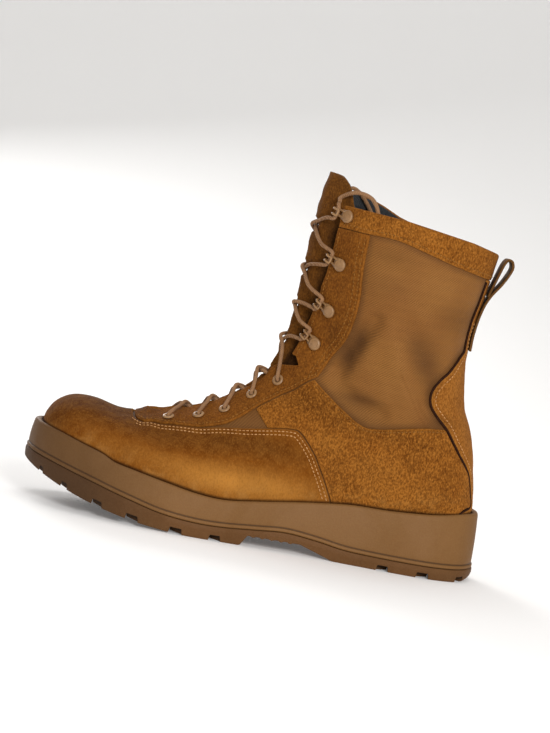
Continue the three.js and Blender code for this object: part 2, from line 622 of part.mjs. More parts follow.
// The place on the last that shows at (x, z) from the given side, with axes for a fitting put on it there:
// out is away from the surface, front is towards the throat, and up runs along the throat.
function seat(side, x, z, offset) {
  const target = new THREE.Vector2(x * SCALE.x, z * SCALE.z);
  const turnOn = (turn) => (side === "lateral" ? turn : (1 - turn) % 1);
  const miss = (s, turn) => {
    const point = offsetPoint(s, turnOn(turn), offset);
    return target.distanceTo(new THREE.Vector2(point.x, point.z));
  };
  let [s, turn, best] = [6, 0.1, Infinity];
  for (let row = 5; row < END_SECTION; row += 0.5) {
    for (let t = 0.01; t < 0.3; t += 0.01) {
      const distance = miss(row, t);
      if (distance < best) [s, turn, best] = [row, t, distance];
    }
  }
  for (let [ds, dt] = [0.25, 0.005]; ds > 0.001; ds /= 2, dt /= 2) {
    for (const [row, t] of [[s + ds, turn], [s - ds, turn], [s, turn + dt], [s, turn - dt]]) {
      const distance = miss(row, t);
      if (distance < best) [s, turn, best] = [row, t, distance];
    }
  }
  const place = offsetPoint(s, turnOn(turn), offset);
  const out = offsetPoint(s, turnOn(turn), offset + 1).sub(place).normalize();
  const front = offsetPoint(s, turnOn(turn - 0.01), offset).sub(place);
  front.addScaledVector(out, -front.dot(out)).normalize();
  const up = out.clone().cross(front);
  if (up.z < 0) up.negate();
  return { place, out, front, up, s, y: place.y / SCALE.y - along(SECTIONS, "ridge", s) };
}

function placed(geometry, { place, out, front }, twist) {
  const ahead = front.clone().applyAxisAngle(out, twist);
  const across = out.clone().cross(ahead);
  const frame = new THREE.Matrix4().makeBasis(ahead, across, out).setPosition(place);
  return solidOf(geometry.clone().applyMatrix4(frame));
}

const EYELETS = [
  { x: -185.8, z: 72.2 },
  { x: -166.4, z: 77.1 },
  { x: -150.2, z: 84.2 },
  { x: -134.4, z: 96.9 },
  { x: -119, z: 109.3 },
];
const HOOKS = [
  { x: -99.3, z: 137.7, twist: 0 },
  { x: -94.1, z: 160.9, twist: 0 },
  { x: -92.9, z: 192.3, twist: 0 },
  { x: -94, z: 224.4, twist: 0 },
];
const EYELET = { hole: 1.9, rim: 3.9, thick: 0.9, sides: 7 };
const HOOK = { width: 6.4, metal: 1.1, back: 4.4, bend: 8.4, lip: 2, throat: 3.7, rivet: 4.3, dome: 1.2 };
const FITTING_SEAT = 2 * GAP + SUEDE + 0.25;

function eyeletShape() {
  const profile = [
    [EYELET.hole, 0], [EYELET.rim, 0], [EYELET.rim - 0.5, EYELET.thick], [EYELET.hole, EYELET.thick], [EYELET.hole, 0],
  ];
  const geometry = new THREE.LatheGeometry(profile.map(([r, z]) => new THREE.Vector2(r, z)), EYELET.sides);
  return geometry.rotateX(Math.PI / 2);
}

function hookShapes() {
  const { width, metal, back, bend, lip, throat, rivet, dome } = HOOK;
  const centre = metal + throat / 2;
  const arc = (radius, from, to) =>
    [0, 1, 2].map((i) => {
      const angle = from + ((to - from) * i) / 2;
      return new THREE.Vector2(bend + radius * Math.cos(angle), centre + radius * Math.sin(angle));
    });
  const side = new THREE.Shape([
    new THREE.Vector2(-back, 0),
    ...arc(throat / 2 + metal, -Math.PI / 2, Math.PI / 2),
    new THREE.Vector2(lip, throat + 2 * metal),
    new THREE.Vector2(lip, throat + metal),
    ...arc(throat / 2, Math.PI / 2, -Math.PI / 2),
    new THREE.Vector2(-back, metal),
  ]);
  const plate = new THREE.ExtrudeGeometry(side, { depth: width, bevelEnabled: false });
  plate.translate(0, 0, -width / 2).rotateX(Math.PI / 2);
  const profile = [[0, metal - 0.3], [rivet, metal - 0.3], [rivet - 1.2, metal + dome], [0, metal + dome]];
  const head = new THREE.LatheGeometry(profile.map(([r, z]) => new THREE.Vector2(r, z)), 8);
  return [plate, head.rotateX(Math.PI / 2)];
}

const eyeletSeats = {};
const hookSeats = {};
for (const side of Object.keys(SIDES)) {
  eyeletSeats[side] = EYELETS.map(({ x, z }) => seat(side, x, z, FITTING_SEAT));
  hookSeats[side] = HOOKS.map(({ x, z }) => seat(side, x, z, FITTING_SEAT));
}
const twistOn = (side, twist) => (side === "lateral" ? -twist : twist);

// The lace is a tube through points that stand off the tongue and the facings.
const LACE = { radius: 1.4, sides: 5, clear: 3.2, middle: 7.8 };
function tube(points) {
  const n = LACE.sides;
  const end = points.length - 1;
  const vertices = [];
  const triangles = [];
  let normal = new THREE.Vector3(0.3, 0.2, 1);
  points.forEach((point, i) => {
    const run = points[Math.min(i + 1, end)].clone().sub(points[Math.max(i - 1, 0)]).normalize();
    normal = normal.clone().addScaledVector(run, -normal.dot(run)).normalize();
    const side = run.clone().cross(normal);
    for (let k = 0; k < n; k++) {
      const angle = (2 * Math.PI * k) / n;
      const [c, d] = [LACE.radius * Math.cos(angle), LACE.radius * Math.sin(angle)];
      vertices.push(point.clone().addScaledVector(normal, c).addScaledVector(side, d));
      if (i === 0) continue;
      const [a, b] = [(i - 1) * n + k, (i - 1) * n + ((k + 1) % n)];
      triangles.push([a, b, a + n], [b, b + n, a + n]);
    }
  });
  for (let k = 1; k < n - 1; k++) {
    triangles.push([0, k + 1, k], [end * n, end * n + k, end * n + k + 1]);
  }
  return solidOf(geometryOf(vertices, triangles));
}

// A point of the lacing between two seats, share of the way from one to the other, lifted off the last.
function between(from, to, share, lift) {
  const s = from.s + (to.s - from.s) * share;
  return offsetPoint(s, turnAt(s, from.y + (to.y - from.y) * share), lift);
}

function at({ place, out, front, up }, ahead, along, lift) {
  return place.clone().addScaledVector(front, ahead).addScaledVector(up, along).addScaledVector(out, lift);
}

// Strands that come out of an eyelet pair, cross over the tongue and stop at the edges further up.
const other = (side) => (side === "lateral" ? "medial" : "lateral");
function makeCrossing(level) {
  const strands = Object.keys(SIDES).map((side) => {
    const [from, to] = [eyeletSeats[side][level], eyeletSeats[other(side)][level + 1]];
    return tube(
      [
        at(from, -0.6, 0, EYELET.thick + LACE.radius + GAP),
        between(from, to, 0.25, LACE.clear + 2.6),
        between(from, to, 0.5, LACE.middle - 1.6),
        between(from, to, 0.75, LACE.clear + 2.6),
      ],
    );
  });
  return strands[0].add(strands[1]);
}

// The lace's way round a hook: ahead of its bend, along the throat.
const HOOK_WRAP = [
  { ahead: 0.4, along: -5.2 },
  { ahead: -1.2, along: 0 },
  { ahead: 0.4, along: 5.2 },
];
function hookFrame(side, i) {
  const hook = hookSeats[side][i];
  const twist = twistOn(side, HOOKS[i].twist);
  const turned = (axis) => axis.clone().applyAxisAngle(hook.out, twist);
  return { ...hook, front: turned(hook.front), up: turned(hook.up) };
}

// The rest of the lacing, from the last eyelets round every hook to the top ones.
function makeLaceRun() {
  const strands = Object.keys(SIDES).map((side) => {
    let [from, near] = [eyeletSeats[side][EYELETS.length - 1], side];
    const points = [at(from, -0.6, 0, EYELET.thick + LACE.radius + GAP)];
    HOOKS.forEach((_, i) => {
      near = other(near);
      const hook = hookFrame(near, i);
      const shares = i === 0 ? [0.24, 0.5, 0.8] : [0.3, 0.5, 0.7];
      shares.forEach((share) => points.push(between(from, hook, share, LACE.middle)));
      HOOK_WRAP.forEach(({ ahead, along }) => {
        points.push(at(hook, HOOK.bend + ahead, along, HOOK.metal + HOOK.throat / 2));
      });
      from = hook;
    });
    return tube(points);
  });
  return strands[0].add(strands[1]);
}

// The two ends go from the top hooks over the collar and hang inside the shaft. deep is how far inside the
// last's surface the lace runs.
const LACE_END = [
  { x: -100.5, z: 236.5, deep: -1 },
  { x: -91, z: 241, deep: 0 },
  { x: -80, z: 238, deep: 5 },
  { x: -74, z: 226, deep: 5 },
  { x: -71, z: 207, deep: 5 },
  { x: -70, z: 187, deep: 5 },
];
function makeLaceEnd(side) {
  const start = at(hookFrame(side, 3), HOOK.bend + 0.7, 5.2 + 6 * GAP, HOOK.metal + HOOK.throat / 2);
  return tube([start, ...LACE_END.map(({ x, z, deep }) => seat(side, x, z, -deep).place)]);
}

// The pull loop is a strap folded at the top, with both legs sewn on the back strip.
const STRAP = { width: 24, thick: 1.7 };
const LOOP = [
  { x: 6.6, z: 168 },
  { x: 8.6, z: 180 },
  { x: 11.8, z: 188 },
  { x: 17.2, z: 196.5 },
  { x: 21.8, z: 206 },
  { x: 22.6, z: 212 },
  { x: 19.8, z: 216.4 },
  { x: 15.6, z: 217 },
  { x: 12.6, z: 213.6 },
  { x: 10.8, z: 207 },
  { x: 9.2, z: 199 },
  { x: 7.8, z: 191 },
];
function makeLoop() {
  const row = (x, z) => new THREE.Vector2(x * SCALE.x, z * SCALE.z);
  const outer = LOOP.map(({ x, z }) => row(x, z));
  const inner = outer.map((point, i) => {
    const [a, b] = [outer[Math.max(i - 1, 0)], outer[Math.min(i + 1, outer.length - 1)]];
    const run = b.clone().sub(a).normalize();
    return point.clone().add(new THREE.Vector2(-run.y, run.x).multiplyScalar(STRAP.thick));
  });
  const shape = new THREE.Shape([...outer, ...inner.reverse()]);
  return prism(shape, -STRAP.width / 2, STRAP.width / 2);
}

const group = new THREE.Group();
function material(colour, roughness, metalness = 0) {
  return new THREE.MeshStandardMaterial({ color: colour, roughness, metalness });
}
const SUEDE_FINISH = material(0x9a6430, 0.95);
const TEXTILE_FINISH = material(0x86603a, 0.9);
const MIDSOLE_FINISH = material(0x8a6a45, 0.75);
const OUTSOLE_FINISH = material(0x75592f, 0.85);
const INSOLE_FINISH = material(0x2f2c2a, 0.9);
const METAL_FINISH = material(0xa88a63, 0.55, 0.2);
const LACE_FINISH = material(0xb08a66, 0.85);

function addPiece(name, solid, finish) {
  const made = solid.getMesh();
  const geometry = new THREE.BufferGeometry();
  const positions = new Float32Array(made.numVert * 3);
  for (let i = 0; i < made.numVert; i++) {
    positions.set(made.vertProperties.subarray(i * made.numProp, i * made.numProp + 3), i * 3);
  }
  geometry.setAttribute("position", new THREE.BufferAttribute(positions, 3));
  geometry.setIndex(new THREE.BufferAttribute(made.triVerts, 1));
  geometry.computeVertexNormals();
  const piece = new THREE.Mesh(geometry, finish);
  piece.name = name;
  group.add(piece);
}

const noHoles = prism(outline([[100, 400], [101, 400], [101, 401]]), 80, 81);
addPiece("upper", makeUpper(noHoles), TEXTILE_FINISH);
addPiece("insole", makeInsole(), INSOLE_FINISH);
addPiece("midsole", makeMidsole(), MIDSOLE_FINISH);
addPiece("outsole", makeOutsole(), OUTSOLE_FINISH);
addPiece("tongue", makeTongue(), SUEDE_FINISH);
addPiece("vamp", makeVamp(), SUEDE_FINISH);
for (const side of Object.keys(SIDES)) {
  addPiece(`eyestay_${side}`, makeFacing(side, noHoles), SUEDE_FINISH);
  addPiece(`quarter_${side}`, makeQuarter(side), SUEDE_FINISH);
  addPiece(`cuff_${side}`, makeCuff(side), SUEDE_FINISH);
}
addPiece("backstay", makeBackstay(), SUEDE_FINISH);
addPiece("pull_loop", makeLoop(), TEXTILE_FINISH);
for (const side of Object.keys(SIDES)) {
  eyeletSeats[side].forEach((seated, i) => {
    addPiece(`eyelet_${side}_${i + 1}`, placed(eyeletShape(), seated, 0), METAL_FINISH);
  });
  hookSeats[side].forEach((seated, i) => {
    const [plate, head] = hookShapes().map((shape) => placed(shape, seated, twistOn(side, HOOKS[i].twist)));
    addPiece(`hook_${side}_${i + 1}`, plate.add(head), METAL_FINISH);
  });
  addPiece(`lace_end_${side}`, makeLaceEnd(side), LACE_FINISH);
}
for (let level = 0; level < EYELETS.length - 1; level++) {
  addPiece(`lace_crossing_${level + 1}`, makeCrossing(level), LACE_FINISH);
}
addPiece("lace_run", makeLaceRun(), LACE_FINISH);

export default group;
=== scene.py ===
"""A left combat boot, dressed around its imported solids. Lengths in the tables are millimetres in the row
frame: the toe points along -X, the lateral side faces -Y, and the sole stands on z = 0."""
import math

import bpy
import numpy as np
from mathutils import Matrix, Vector


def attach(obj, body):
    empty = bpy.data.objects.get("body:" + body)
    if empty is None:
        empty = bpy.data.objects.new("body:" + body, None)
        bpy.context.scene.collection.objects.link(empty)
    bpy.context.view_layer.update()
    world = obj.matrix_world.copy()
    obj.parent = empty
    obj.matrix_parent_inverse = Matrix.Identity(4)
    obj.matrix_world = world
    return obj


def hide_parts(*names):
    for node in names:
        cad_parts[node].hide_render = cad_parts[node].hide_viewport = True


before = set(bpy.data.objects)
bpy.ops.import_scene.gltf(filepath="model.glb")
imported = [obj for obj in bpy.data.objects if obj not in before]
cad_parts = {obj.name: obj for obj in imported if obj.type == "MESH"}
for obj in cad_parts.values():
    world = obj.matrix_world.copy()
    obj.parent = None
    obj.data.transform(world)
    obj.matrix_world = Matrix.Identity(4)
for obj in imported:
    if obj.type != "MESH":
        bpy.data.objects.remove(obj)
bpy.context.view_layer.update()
MM = 0.001

# Tables shared with the part.

# top x, top z, low x, low z, lateral, medial, ridge, widest, crown, keel
SECTIONS = np.array([
    (-268, 50, -268, 48, -9, 9, 9, 0.5, 2, 2),
    (-266, 58, -266, 42.5, 6, 24, 8.5, 0.52, 2.2, 2.4),
    (-260.5, 65.5, -260.5, 37.6, 18, 33, 8, 0.55, 2.3, 2.8),
    (-251, 70, -251, 35, 28, 39.5, 7, 0.58, 2.3, 3.2),
    (-238, 70.3, -238, 32.6, 36.5, 44, 6, 0.61, 2.25, 3.6),
    (-222, 67.8, -222, 29.8, 43, 47, 5, 0.64, 2.15, 3.8),
    (-204, 69.6, -204, 27, 47.3, 47.2, 4, 0.67, 2.05, 4),
    (-186, 74, -186, 24.3, 49, 45.5, 4, 0.71, 1.95, 4),
    (-168, 80, -167, 21.7, 48.2, 41.5, 3.5, 0.74, 1.85, 4),
    (-151, 89.5, -143, 19.5, 45.5, 36.5, 3, 0.77, 1.8, 4),
    (-138, 101, -114, 21.5, 41, 32.5, 2.5, 0.79, 1.75, 4),
    (-129, 112, -84, 26, 37.5, 31, 2, 0.81, 1.75, 3.8),
    (-123, 122, -54, 29.8, 35.6, 31.5, 1, 0.81, 1.75, 3.6),
    (-119.5, 131, -25, 31.5, 34.8, 32.4, 0, 0.8, 1.78, 3.4),
    (-117.5, 139, 1, 32.5, 34.4, 33.2, 0, 0.78, 1.8, 3.1),
    (-116.4, 146, 17, 35.5, 34.2, 33.6, 0, 0.75, 1.8, 2.9),
    (-115.5, 152, 23.6, 44, 34.4, 34.2, 0, 0.71, 1.8, 2.7),
    (-114.8, 158, 22.8, 57, 35, 35, 0, 0.67, 1.8, 2.5),
    (-114.2, 164, 20.2, 71, 36, 36, 0, 0.63, 1.8, 2.35),
    (-113.8, 170, 17, 86, 37, 37, 0, 0.59, 1.8, 2.2),
    (-113.4, 177, 11.6, 101, 38, 38, 0, 0.56, 1.8, 2.1),
    (-113, 184, 5.2, 115, 39.5, 39.5, 0, 0.54, 1.8, 2.1),
    (-112.6, 192, 2.8, 130, 41, 41, 0, 0.53, 1.8, 2.1),
    (-112.2, 201, 0.9, 147, 42.5, 42.5, 0, 0.52, 1.8, 2.1),
    (-111.6, 211, 0.8, 164, 43.8, 43.8, 0, 0.52, 1.8, 2.1),
    (-111, 222, 3.6, 183, 45, 45, 0, 0.51, 1.8, 2.1),
    (-110, 234, 6.6, 203, 46, 46, 0, 0.5, 1.8, 2.1),
    (-108.5, 248, 9.2, 222, 46.5, 46.5, 0, 0.5, 1.8, 2.1),
    (-106.5, 264, 11.8, 241, 47, 47, 0, 0.5, 1.8, 2.1),
], float)
LAST_END = len(SECTIONS) - 1

# x, lateral, medial
SOLE_OUTLINE = np.array([
    (33, 0, 0), (30.5, 15, 15), (22, 27.5, 27.5), (6, 36.5, 36), (-18, 40.3, 39), (-48, 41, 38),
    (-80, 42, 36), (-110, 46, 37.5), (-138, 51, 42.5), (-163, 55, 48.5), (-187, 56, 53), (-210, 53.5, 54.5),
    (-231, 47, 52.5), (-250, 36.5, 47.5), (-264, 23.5, 38), (-273.5, 8, 25), (-277.5, -8, 8),
], float)

# x, bed, rim, seam
SOLE_HEIGHTS = np.array([
    (34, 40, 46.5, 9.5), (22, 39.5, 45.8, 8.6), (0, 37.5, 42.6, 8.2), (-30, 35.6, 40, 8.2),
    (-54, 34, 39.2, 8.8), (-74, 31.8, 36.8, 11.4), (-95, 28.6, 33.6, 13.2), (-115, 25.6, 30.4, 11.6),
    (-137, 23.2, 27.6, 9.8), (-156, 24.2, 28.6, 9.8), (-178, 27.2, 32.2, 12), (-200, 30.4, 36, 16.8),
    (-214, 32.6, 38.4, 20), (-224, 34.4, 42.2, 22.4), (-240, 37.4, 45.8, 25.8), (-256, 40.4, 49.2, 29),
    (-278, 44.4, 52.4, 32.6),
], float)

# Section, half width of the throat from the ridge, on each side.
THROAT = {
    -1: np.array([
        (6.2, 8), (6.5, 10.5), (8, 11), (10, 11.4), (12, 10.6), (14, 11), (16, 11.8), (18, 14.6), (20, 18.2), (23, 24),
        (28, 27),
    ], float),
    1: np.array([
        (6.2, 8), (6.5, 10), (8, 10), (9, 9), (10, 7.4), (12, 7.8), (14, 9.6), (16, 11.8), (18, 14.6), (20, 18.2),
        (23, 24), (28, 27),
    ], float),
}
COLLAR = {
    -1: [(-130, 231.5), (-95, 231), (-56, 228.6), (-10, 222.6), (6, 219), (30, 214)],
    1: [(-130, 243), (-93, 241.4), (-80, 239), (-70, 235.6), (-58, 230.4), (-46, 227), (-10, 222.6), (6, 219),
        (30, 214)],
}
FACING_STEP = [(-145, 119.4), (-120, 118.8), (-107, 121.2), (-110, 127), (-145, 131)]

# section, half, free, bulge
TONGUE = np.array([
    (5.7, 13, 6, -3.4), (6.5, 14.5, 7, -3), (7.1, 16, 8, -1), (8, 18, 9.5, 0.8), (10, 21, 11, 1.8),
    (12, 25, 14.5, 3), (15, 28, 18.5, 3.8), (19, 30.5, 21, 4.2), (23, 31.5, 23, 4.4), (25.6, 30, 22.5, 4.4),
    (26.3, 27, 21.5, 4.2), (26.8, 22.5, 20, 4), (27.05, 17, 17, 3.6), (27.19, 10, 10.5, 3.4), (27.23, 3, 4, 3.2),
], float)

# Seams in the side view.
WING_TOP = [
    (-213, 84), (-211, 69.2), (-203, 65.2), (-196, 66), (-188, 66.2), (-172.4, 67.3), (-152.5, 70.8),
    (-120.7, 76.9), (-103.8, 79.4), (-97.5, 78), (-88.9, 69.5), (-82.4, 60.5), (-70, 37.8), (-66, 20),
]
FACING_LOW = [
    (-212.2, 90), (-210.2, 70), (-202.8, 65.8), (-196, 66.6), (-188, 66.8), (-172, 67.9), (-158, 70.6),
    (-148, 74), (-139, 80), (-129, 88.7), (-115.4, 99.2), (-105, 107.4), (-95, 115.1),
]
FACING_BACK = [
    (-93.2, 116.4), (-87, 129.9), (-79.7, 143.9), (-76.7, 157), (-76, 170), (-76.6, 182.4), (-78, 199.8),
    (-77.8, 215.4),
]
QUARTER_FRONT = [(-129.1, 87.6), (-120, 77.8)]
QUARTER_TOP = [(-94.9, 114.2), (-86, 107.6), (-73.7, 99.3), (-59.3, 91.3), (-47.4, 91), (-19.7, 97.4), (-5.6, 98.9)]
BACKSTAY_LOW = [(14, 20), (14, 43), (20.4, 49.5), (18.7, 59.6), (14.4, 72.8), (5.6, 84.9), (-4.8, 99)]
BACKSTAY_HIGH = [
    (-11.6, 105.4), (-17.3, 112.7), (-18.5, 120.5), (-15.2, 128.8), (-9.4, 138.7), (-3, 151.3), (0.2, 158.3),
    (0.4, 166.2), (2, 181.7), (4.6, 200.5),
]
CUFF_LOW = [
    (-140, 217.4), (-97.7, 216.7), (-80, 215.8), (-59.7, 215.3), (-39.8, 210.9), (-20, 206), (6.2, 200.8),
    (40, 194),
]
SEAM_GAP = 0.5

EYELETS = [(-185.8, 72.2), (-166.4, 77.1), (-150.2, 84.2), (-134.4, 96.9), (-119, 109.3)]
HOOKS = [(-99.3, 137.7), (-94.1, 160.9), (-92.9, 192.3), (-94, 224.4)]
EYELET = {"hole": 1.9, "rim": 3.9, "thick": 0.9}
HOOK = {"width": 6.4, "metal": 1.1, "bend": 8.4, "throat": 3.7, "rivet": 4.3, "dome": 1.2}
FITTING_SEAT = 2.35

WALL = 2.0
SUEDE = 1.5
GAP = 0.3
LACE_RADIUS = 1.4
LOOP = np.array([
    (4.6, 152), (4.6, 160), (5.2, 168), (6.4, 176), (8.4, 184), (11.6, 191), (16.4, 198.5), (20.4, 206.5), (21.9, 212),
    (20.3, 216.3), (16.8, 217), (14.2, 213.2), (12.2, 206.5), (10.4, 200), (8.9, 194.5), (7.9, 190),
], float)
STRAP = {"half": 12.0, "thick": 1.7}


# The last.

def along(rows, t):
    """A smooth curve through the rows of a table, at row numbers t."""
    rows = np.asarray(rows, float)
    t = np.asarray(t, float)
    last = len(rows) - 1
    i = np.clip(np.floor(t).astype(int), 0, last - 1)
    f = (t - i)[..., None]
    b, c = rows[i], rows[i + 1]
    before = np.where((i == 0)[..., None], 2 * rows[0] - rows[1], rows[np.maximum(i - 1, 0)])
    after = np.where((i == last - 1)[..., None], 2 * rows[last] - rows[last - 1], rows[np.minimum(i + 2, last)])
    slope, next_slope, rise = (c - before) / 2, (after - b) / 2, b - c
    return b + f * (slope + f * (-3 * rise - 2 * slope - next_slope + f * (2 * rise + slope + next_slope)))


def smooth_line(points, per=6):
    return along(points, np.linspace(0, len(points) - 1, (len(points) - 1) * per + 1))


SOLE_FINE = along(SOLE_HEIGHTS, np.linspace(0, len(SOLE_HEIGHTS) - 1, 400))[::-1]


def sole_height(column, x):
    """bed (1), rim (2) or seam (3) height at length x."""
    return np.interp(x, SOLE_FINE[:, 0], SOLE_FINE[:, column])


def last_point(s, w):
    """s is the section number; w runs from -1 at the bottom round the lateral side to 0 at the ridge and on
    round the medial side to 1 at the bottom again."""
    s, w = np.broadcast_arrays(np.asarray(s, float), np.asarray(w, float))
    w = (w + 1) % 2 - 1
    top_x, top_z, low_x, low_z, lateral, medial, ridge, widest, crown, keel = np.moveaxis(along(SECTIONS, s), -1, 0)
    angle = np.pi * np.abs(w)
    side = np.where(w < 0, -lateral, medial)
    above = angle < np.pi / 2
    power = 2 / np.where(above, crown, keel)
    across = np.abs(np.sin(angle)) ** power
    down = np.abs(np.cos(angle)) ** power
    share = np.where(above, widest * (1 - down), widest + (1 - widest) * down)
    return np.stack([top_x + (low_x - top_x) * share, ridge + (side - ridge) * across,
                     top_z + (low_z - top_z) * share], -1)


def last_normal(s, w):
    s, w = np.broadcast_arrays(np.asarray(s, float), np.asarray(w, float))
    ds, dw = 0.02, 0.008
    along_s = last_point(np.minimum(s + ds, LAST_END), w) - last_point(np.maximum(s - ds, 0), w)
    along_w = last_point(s, w - dw) - last_point(s, w + dw)
    normal = np.cross(along_w, along_s)
    length = np.linalg.norm(normal, axis=-1, keepdims=True)
    normal = np.where(length > 1e-9, normal / np.maximum(length, 1e-9), (-1.0, 0.0, 0.0))
    return np.where((s < ds)[..., None], (-1.0, 0.0, 0.0), normal)


def across_at(s, y):
    """The w at which section s is y away from its ridge, above its widest line."""
    row = along(SECTIONS, s)
    side = np.where(y < 0, row[..., 6] + row[..., 4], row[..., 5] - row[..., 6])
    sine = np.minimum(np.abs(y) / side, 1) ** (row[..., 8] / 2)
    return np.sign(y) * np.arcsin(sine) / np.pi


def lifted(s, w, lift):
    return last_point(s, w) + last_normal(s, w) * np.asarray(lift)[..., None]


def seat(side, x, z, offset):
    """The place on the last that shows at (x, z) from the given side (-1 lateral, 1 medial)."""
    s_mid, w_mid, s_half, w_half = 16.0, 0.31, 11.9, 0.29
    for _ in range(9):
        s = np.clip(np.linspace(s_mid - s_half, s_mid + s_half, 33), 0.1, LAST_END)[:, None]
        w = np.clip(np.linspace(w_mid - w_half, w_mid + w_half, 33), 0.004, 0.999)[None, :]
        p = lifted(s, side * w, np.full((33, 33), offset))
        miss = (p[..., 0] - x) ** 2 + (p[..., 2] - z) ** 2
        i, j = np.unravel_index(miss.argmin(), miss.shape)
        s_mid, w_mid, s_half, w_half = s[i, 0], w[0, j], s_half / 4, w_half / 4
    w_mid *= side
    place = lifted(s_mid, w_mid, offset)
    out = last_normal(s_mid, w_mid)
    front = lifted(s_mid, w_mid - side * 0.02, offset) - place
    front -= out * front.dot(out)
    front /= np.linalg.norm(front)
    up = np.cross(out, front)
    if up[2] < 0:
        up = -up
    ridge = along(SECTIONS, s_mid)[6]
    return {"place": place, "out": out, "front": front, "up": up, "s": s_mid, "y": place[1] - ridge,
            "w": w_mid}


# Meshes.

def outward_faces(points, faces):
    """Triangles turned so that the closed solid's volume is positive."""
    p = points[faces]
    volume = np.einsum("ij,ij->i", p[:, 0], np.cross(p[:, 1], p[:, 2])).sum()
    return faces if volume > 0 else faces[:, ::-1]


def put(name, points, faces, materials, nodes=(), slot="suede", smooth=True, face_material=None,
        attributes=None):
    """A piece from points in millimetres, its triangles turned outward."""
    mesh = bpy.data.meshes.new(name)
    mesh.from_pydata((points * MM).tolist(), [], outward_faces(points, faces).tolist())
    for made in materials if isinstance(materials, (list, tuple)) else [materials]:
        mesh.materials.append(made)
    if face_material is not None:
        mesh.polygons.foreach_set("material_index", np.asarray(face_material, np.int32))
    for key, values in (attributes or {}).items():
        mesh.attributes.new(key, "FLOAT", "POINT").data.foreach_set("value", np.asarray(values, np.float32))
    mesh.polygons.foreach_set("use_smooth", np.full(len(mesh.polygons), smooth))
    mesh.validate()
    mesh.update()
    piece = bpy.data.objects.new(name, mesh)
    bpy.context.scene.collection.objects.link(piece)
    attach(piece, "root")
    if nodes:
        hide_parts(*nodes)
    return piece


def weld(points, faces, *more, near=1e-3):
    """Points nearer than near become one, and triangles that this flattens go."""
    keys = np.round(np.asarray(points) / near).astype(np.int64)
    _, first, inverse = np.unique(keys, axis=0, return_index=True, return_inverse=True)
    inverse = inverse.ravel()
    faces = inverse[faces]
    whole = (faces[:, 0] != faces[:, 1]) & (faces[:, 1] != faces[:, 2]) & (faces[:, 2] != faces[:, 0])
    return points[first], faces[whole], *[m[first] for m in more]


def trim(points, faces, *more):
    """Without the points that no face uses."""
    used = np.zeros(len(points), bool)
    used[faces.ravel()] = True
    number = np.cumsum(used) - 1
    return points[used], number[faces], *[m[used] for m in more]


def split(rows, faces, field, level):
    """Cuts every triangle where column field of the rows crosses level."""
    f = rows[:, field] - level
    f = np.where(np.abs(f) < 1e-4, 1e-4, f)
    above = f > 0
    count = above[faces].sum(1)
    cross = (count == 1) | (count == 2)
    t = faces[cross]
    if not len(t):
        return rows, faces
    a = above[t]
    lone = np.where(count[cross] == 1, a.argmax(1), (~a).argmax(1))
    r = np.arange(len(t))
    p, q, o = t[r, lone], t[r, (lone + 1) % 3], t[r, (lone + 2) % 3]
    edges = np.sort(np.vstack([np.c_[p, q], np.c_[p, o]]), axis=1)
    unique, inverse = np.unique(edges, axis=0, return_inverse=True)
    inverse = inverse.ravel()
    share = (f[unique[:, 0]] / (f[unique[:, 0]] - f[unique[:, 1]]))[:, None]
    new = rows[unique[:, 0]] * (1 - share) + rows[unique[:, 1]] * share
    ids = len(rows) + inverse
    pq, po = ids[:len(t)], ids[len(t):]
    faces = np.vstack([faces[~cross], np.c_[p, pq, po], np.c_[pq, q, o], np.c_[pq, o, po]])
    return np.vstack([rows, new]), faces


def rim_edges(faces):
    """Directed edges that only one triangle has."""
    directed = np.vstack([faces[:, [0, 1]], faces[:, [1, 2]], faces[:, [2, 0]]])
    key = np.sort(directed, axis=1)
    _, inverse, counts = np.unique(key, axis=0, return_inverse=True, return_counts=True)
    return directed[counts[inverse.ravel()] == 1]


def sheet_faces(faces, count):
    """The faces of a closed sheet: the upper ones, their copies count points on, and the wall round them."""
    edge = rim_edges(faces)
    wall = np.vstack([np.c_[edge[:, 1], edge[:, 0], edge[:, 0] + count],
                      np.c_[edge[:, 1], edge[:, 0] + count, edge[:, 1] + count]])
    return np.vstack([faces, faces[:, ::-1] + count, wall])


def between_rings(rings, size):
    """Triangles between closed rings of size points each."""
    faces = []
    k = np.arange(size)
    for i in range(rings - 1):
        a, b = i * size + k, i * size + (k + 1) % size
        faces += [np.c_[a, b, b + size], np.c_[a, b + size, a + size]]
    return faces


def fan(start, size):
    """Triangles that close a ring of size points from its first one."""
    return np.array([(start, start + j + 1, start + j) for j in range(1, size - 1)])


def polygon_distance(x, z, polygon, closed=True):
    """Signed distance to a polygon, positive inside, and the unit direction to its nearest point. An open
    line gives the plain distance."""
    pts = np.asarray(polygon, float)
    nearest = np.full(x.shape, 1e9)
    gx, gz = np.zeros(x.shape), np.zeros(x.shape)
    inside = np.zeros(x.shape, bool)
    count = len(pts) if closed else len(pts) - 1
    for k in range(count):
        (ax, az), (bx, bz) = pts[k], pts[(k + 1) % len(pts)]
        dx, dz = bx - ax, bz - az
        length2 = dx * dx + dz * dz
        if length2 < 1e-12:
            continue
        u = np.clip(((x - ax) * dx + (z - az) * dz) / length2, 0, 1)
        ox, oz = x - (ax + u * dx), z - (az + u * dz)
        distance = np.hypot(ox, oz)
        closer = distance < nearest
        nearest = np.where(closer, distance, nearest)
        gx, gz = np.where(closer, ox, gx), np.where(closer, oz, gz)
        if closed and abs(dz) > 1e-12:
            crosses = ((az > z) != (bz > z)) & (x < ax + (z - az) * dx / dz)
            inside ^= crosses
    length = np.maximum(np.hypot(gx, gz), 1e-9)
    signed = np.where(inside, nearest, -nearest) if closed else nearest
    return signed, gx / length, gz / length


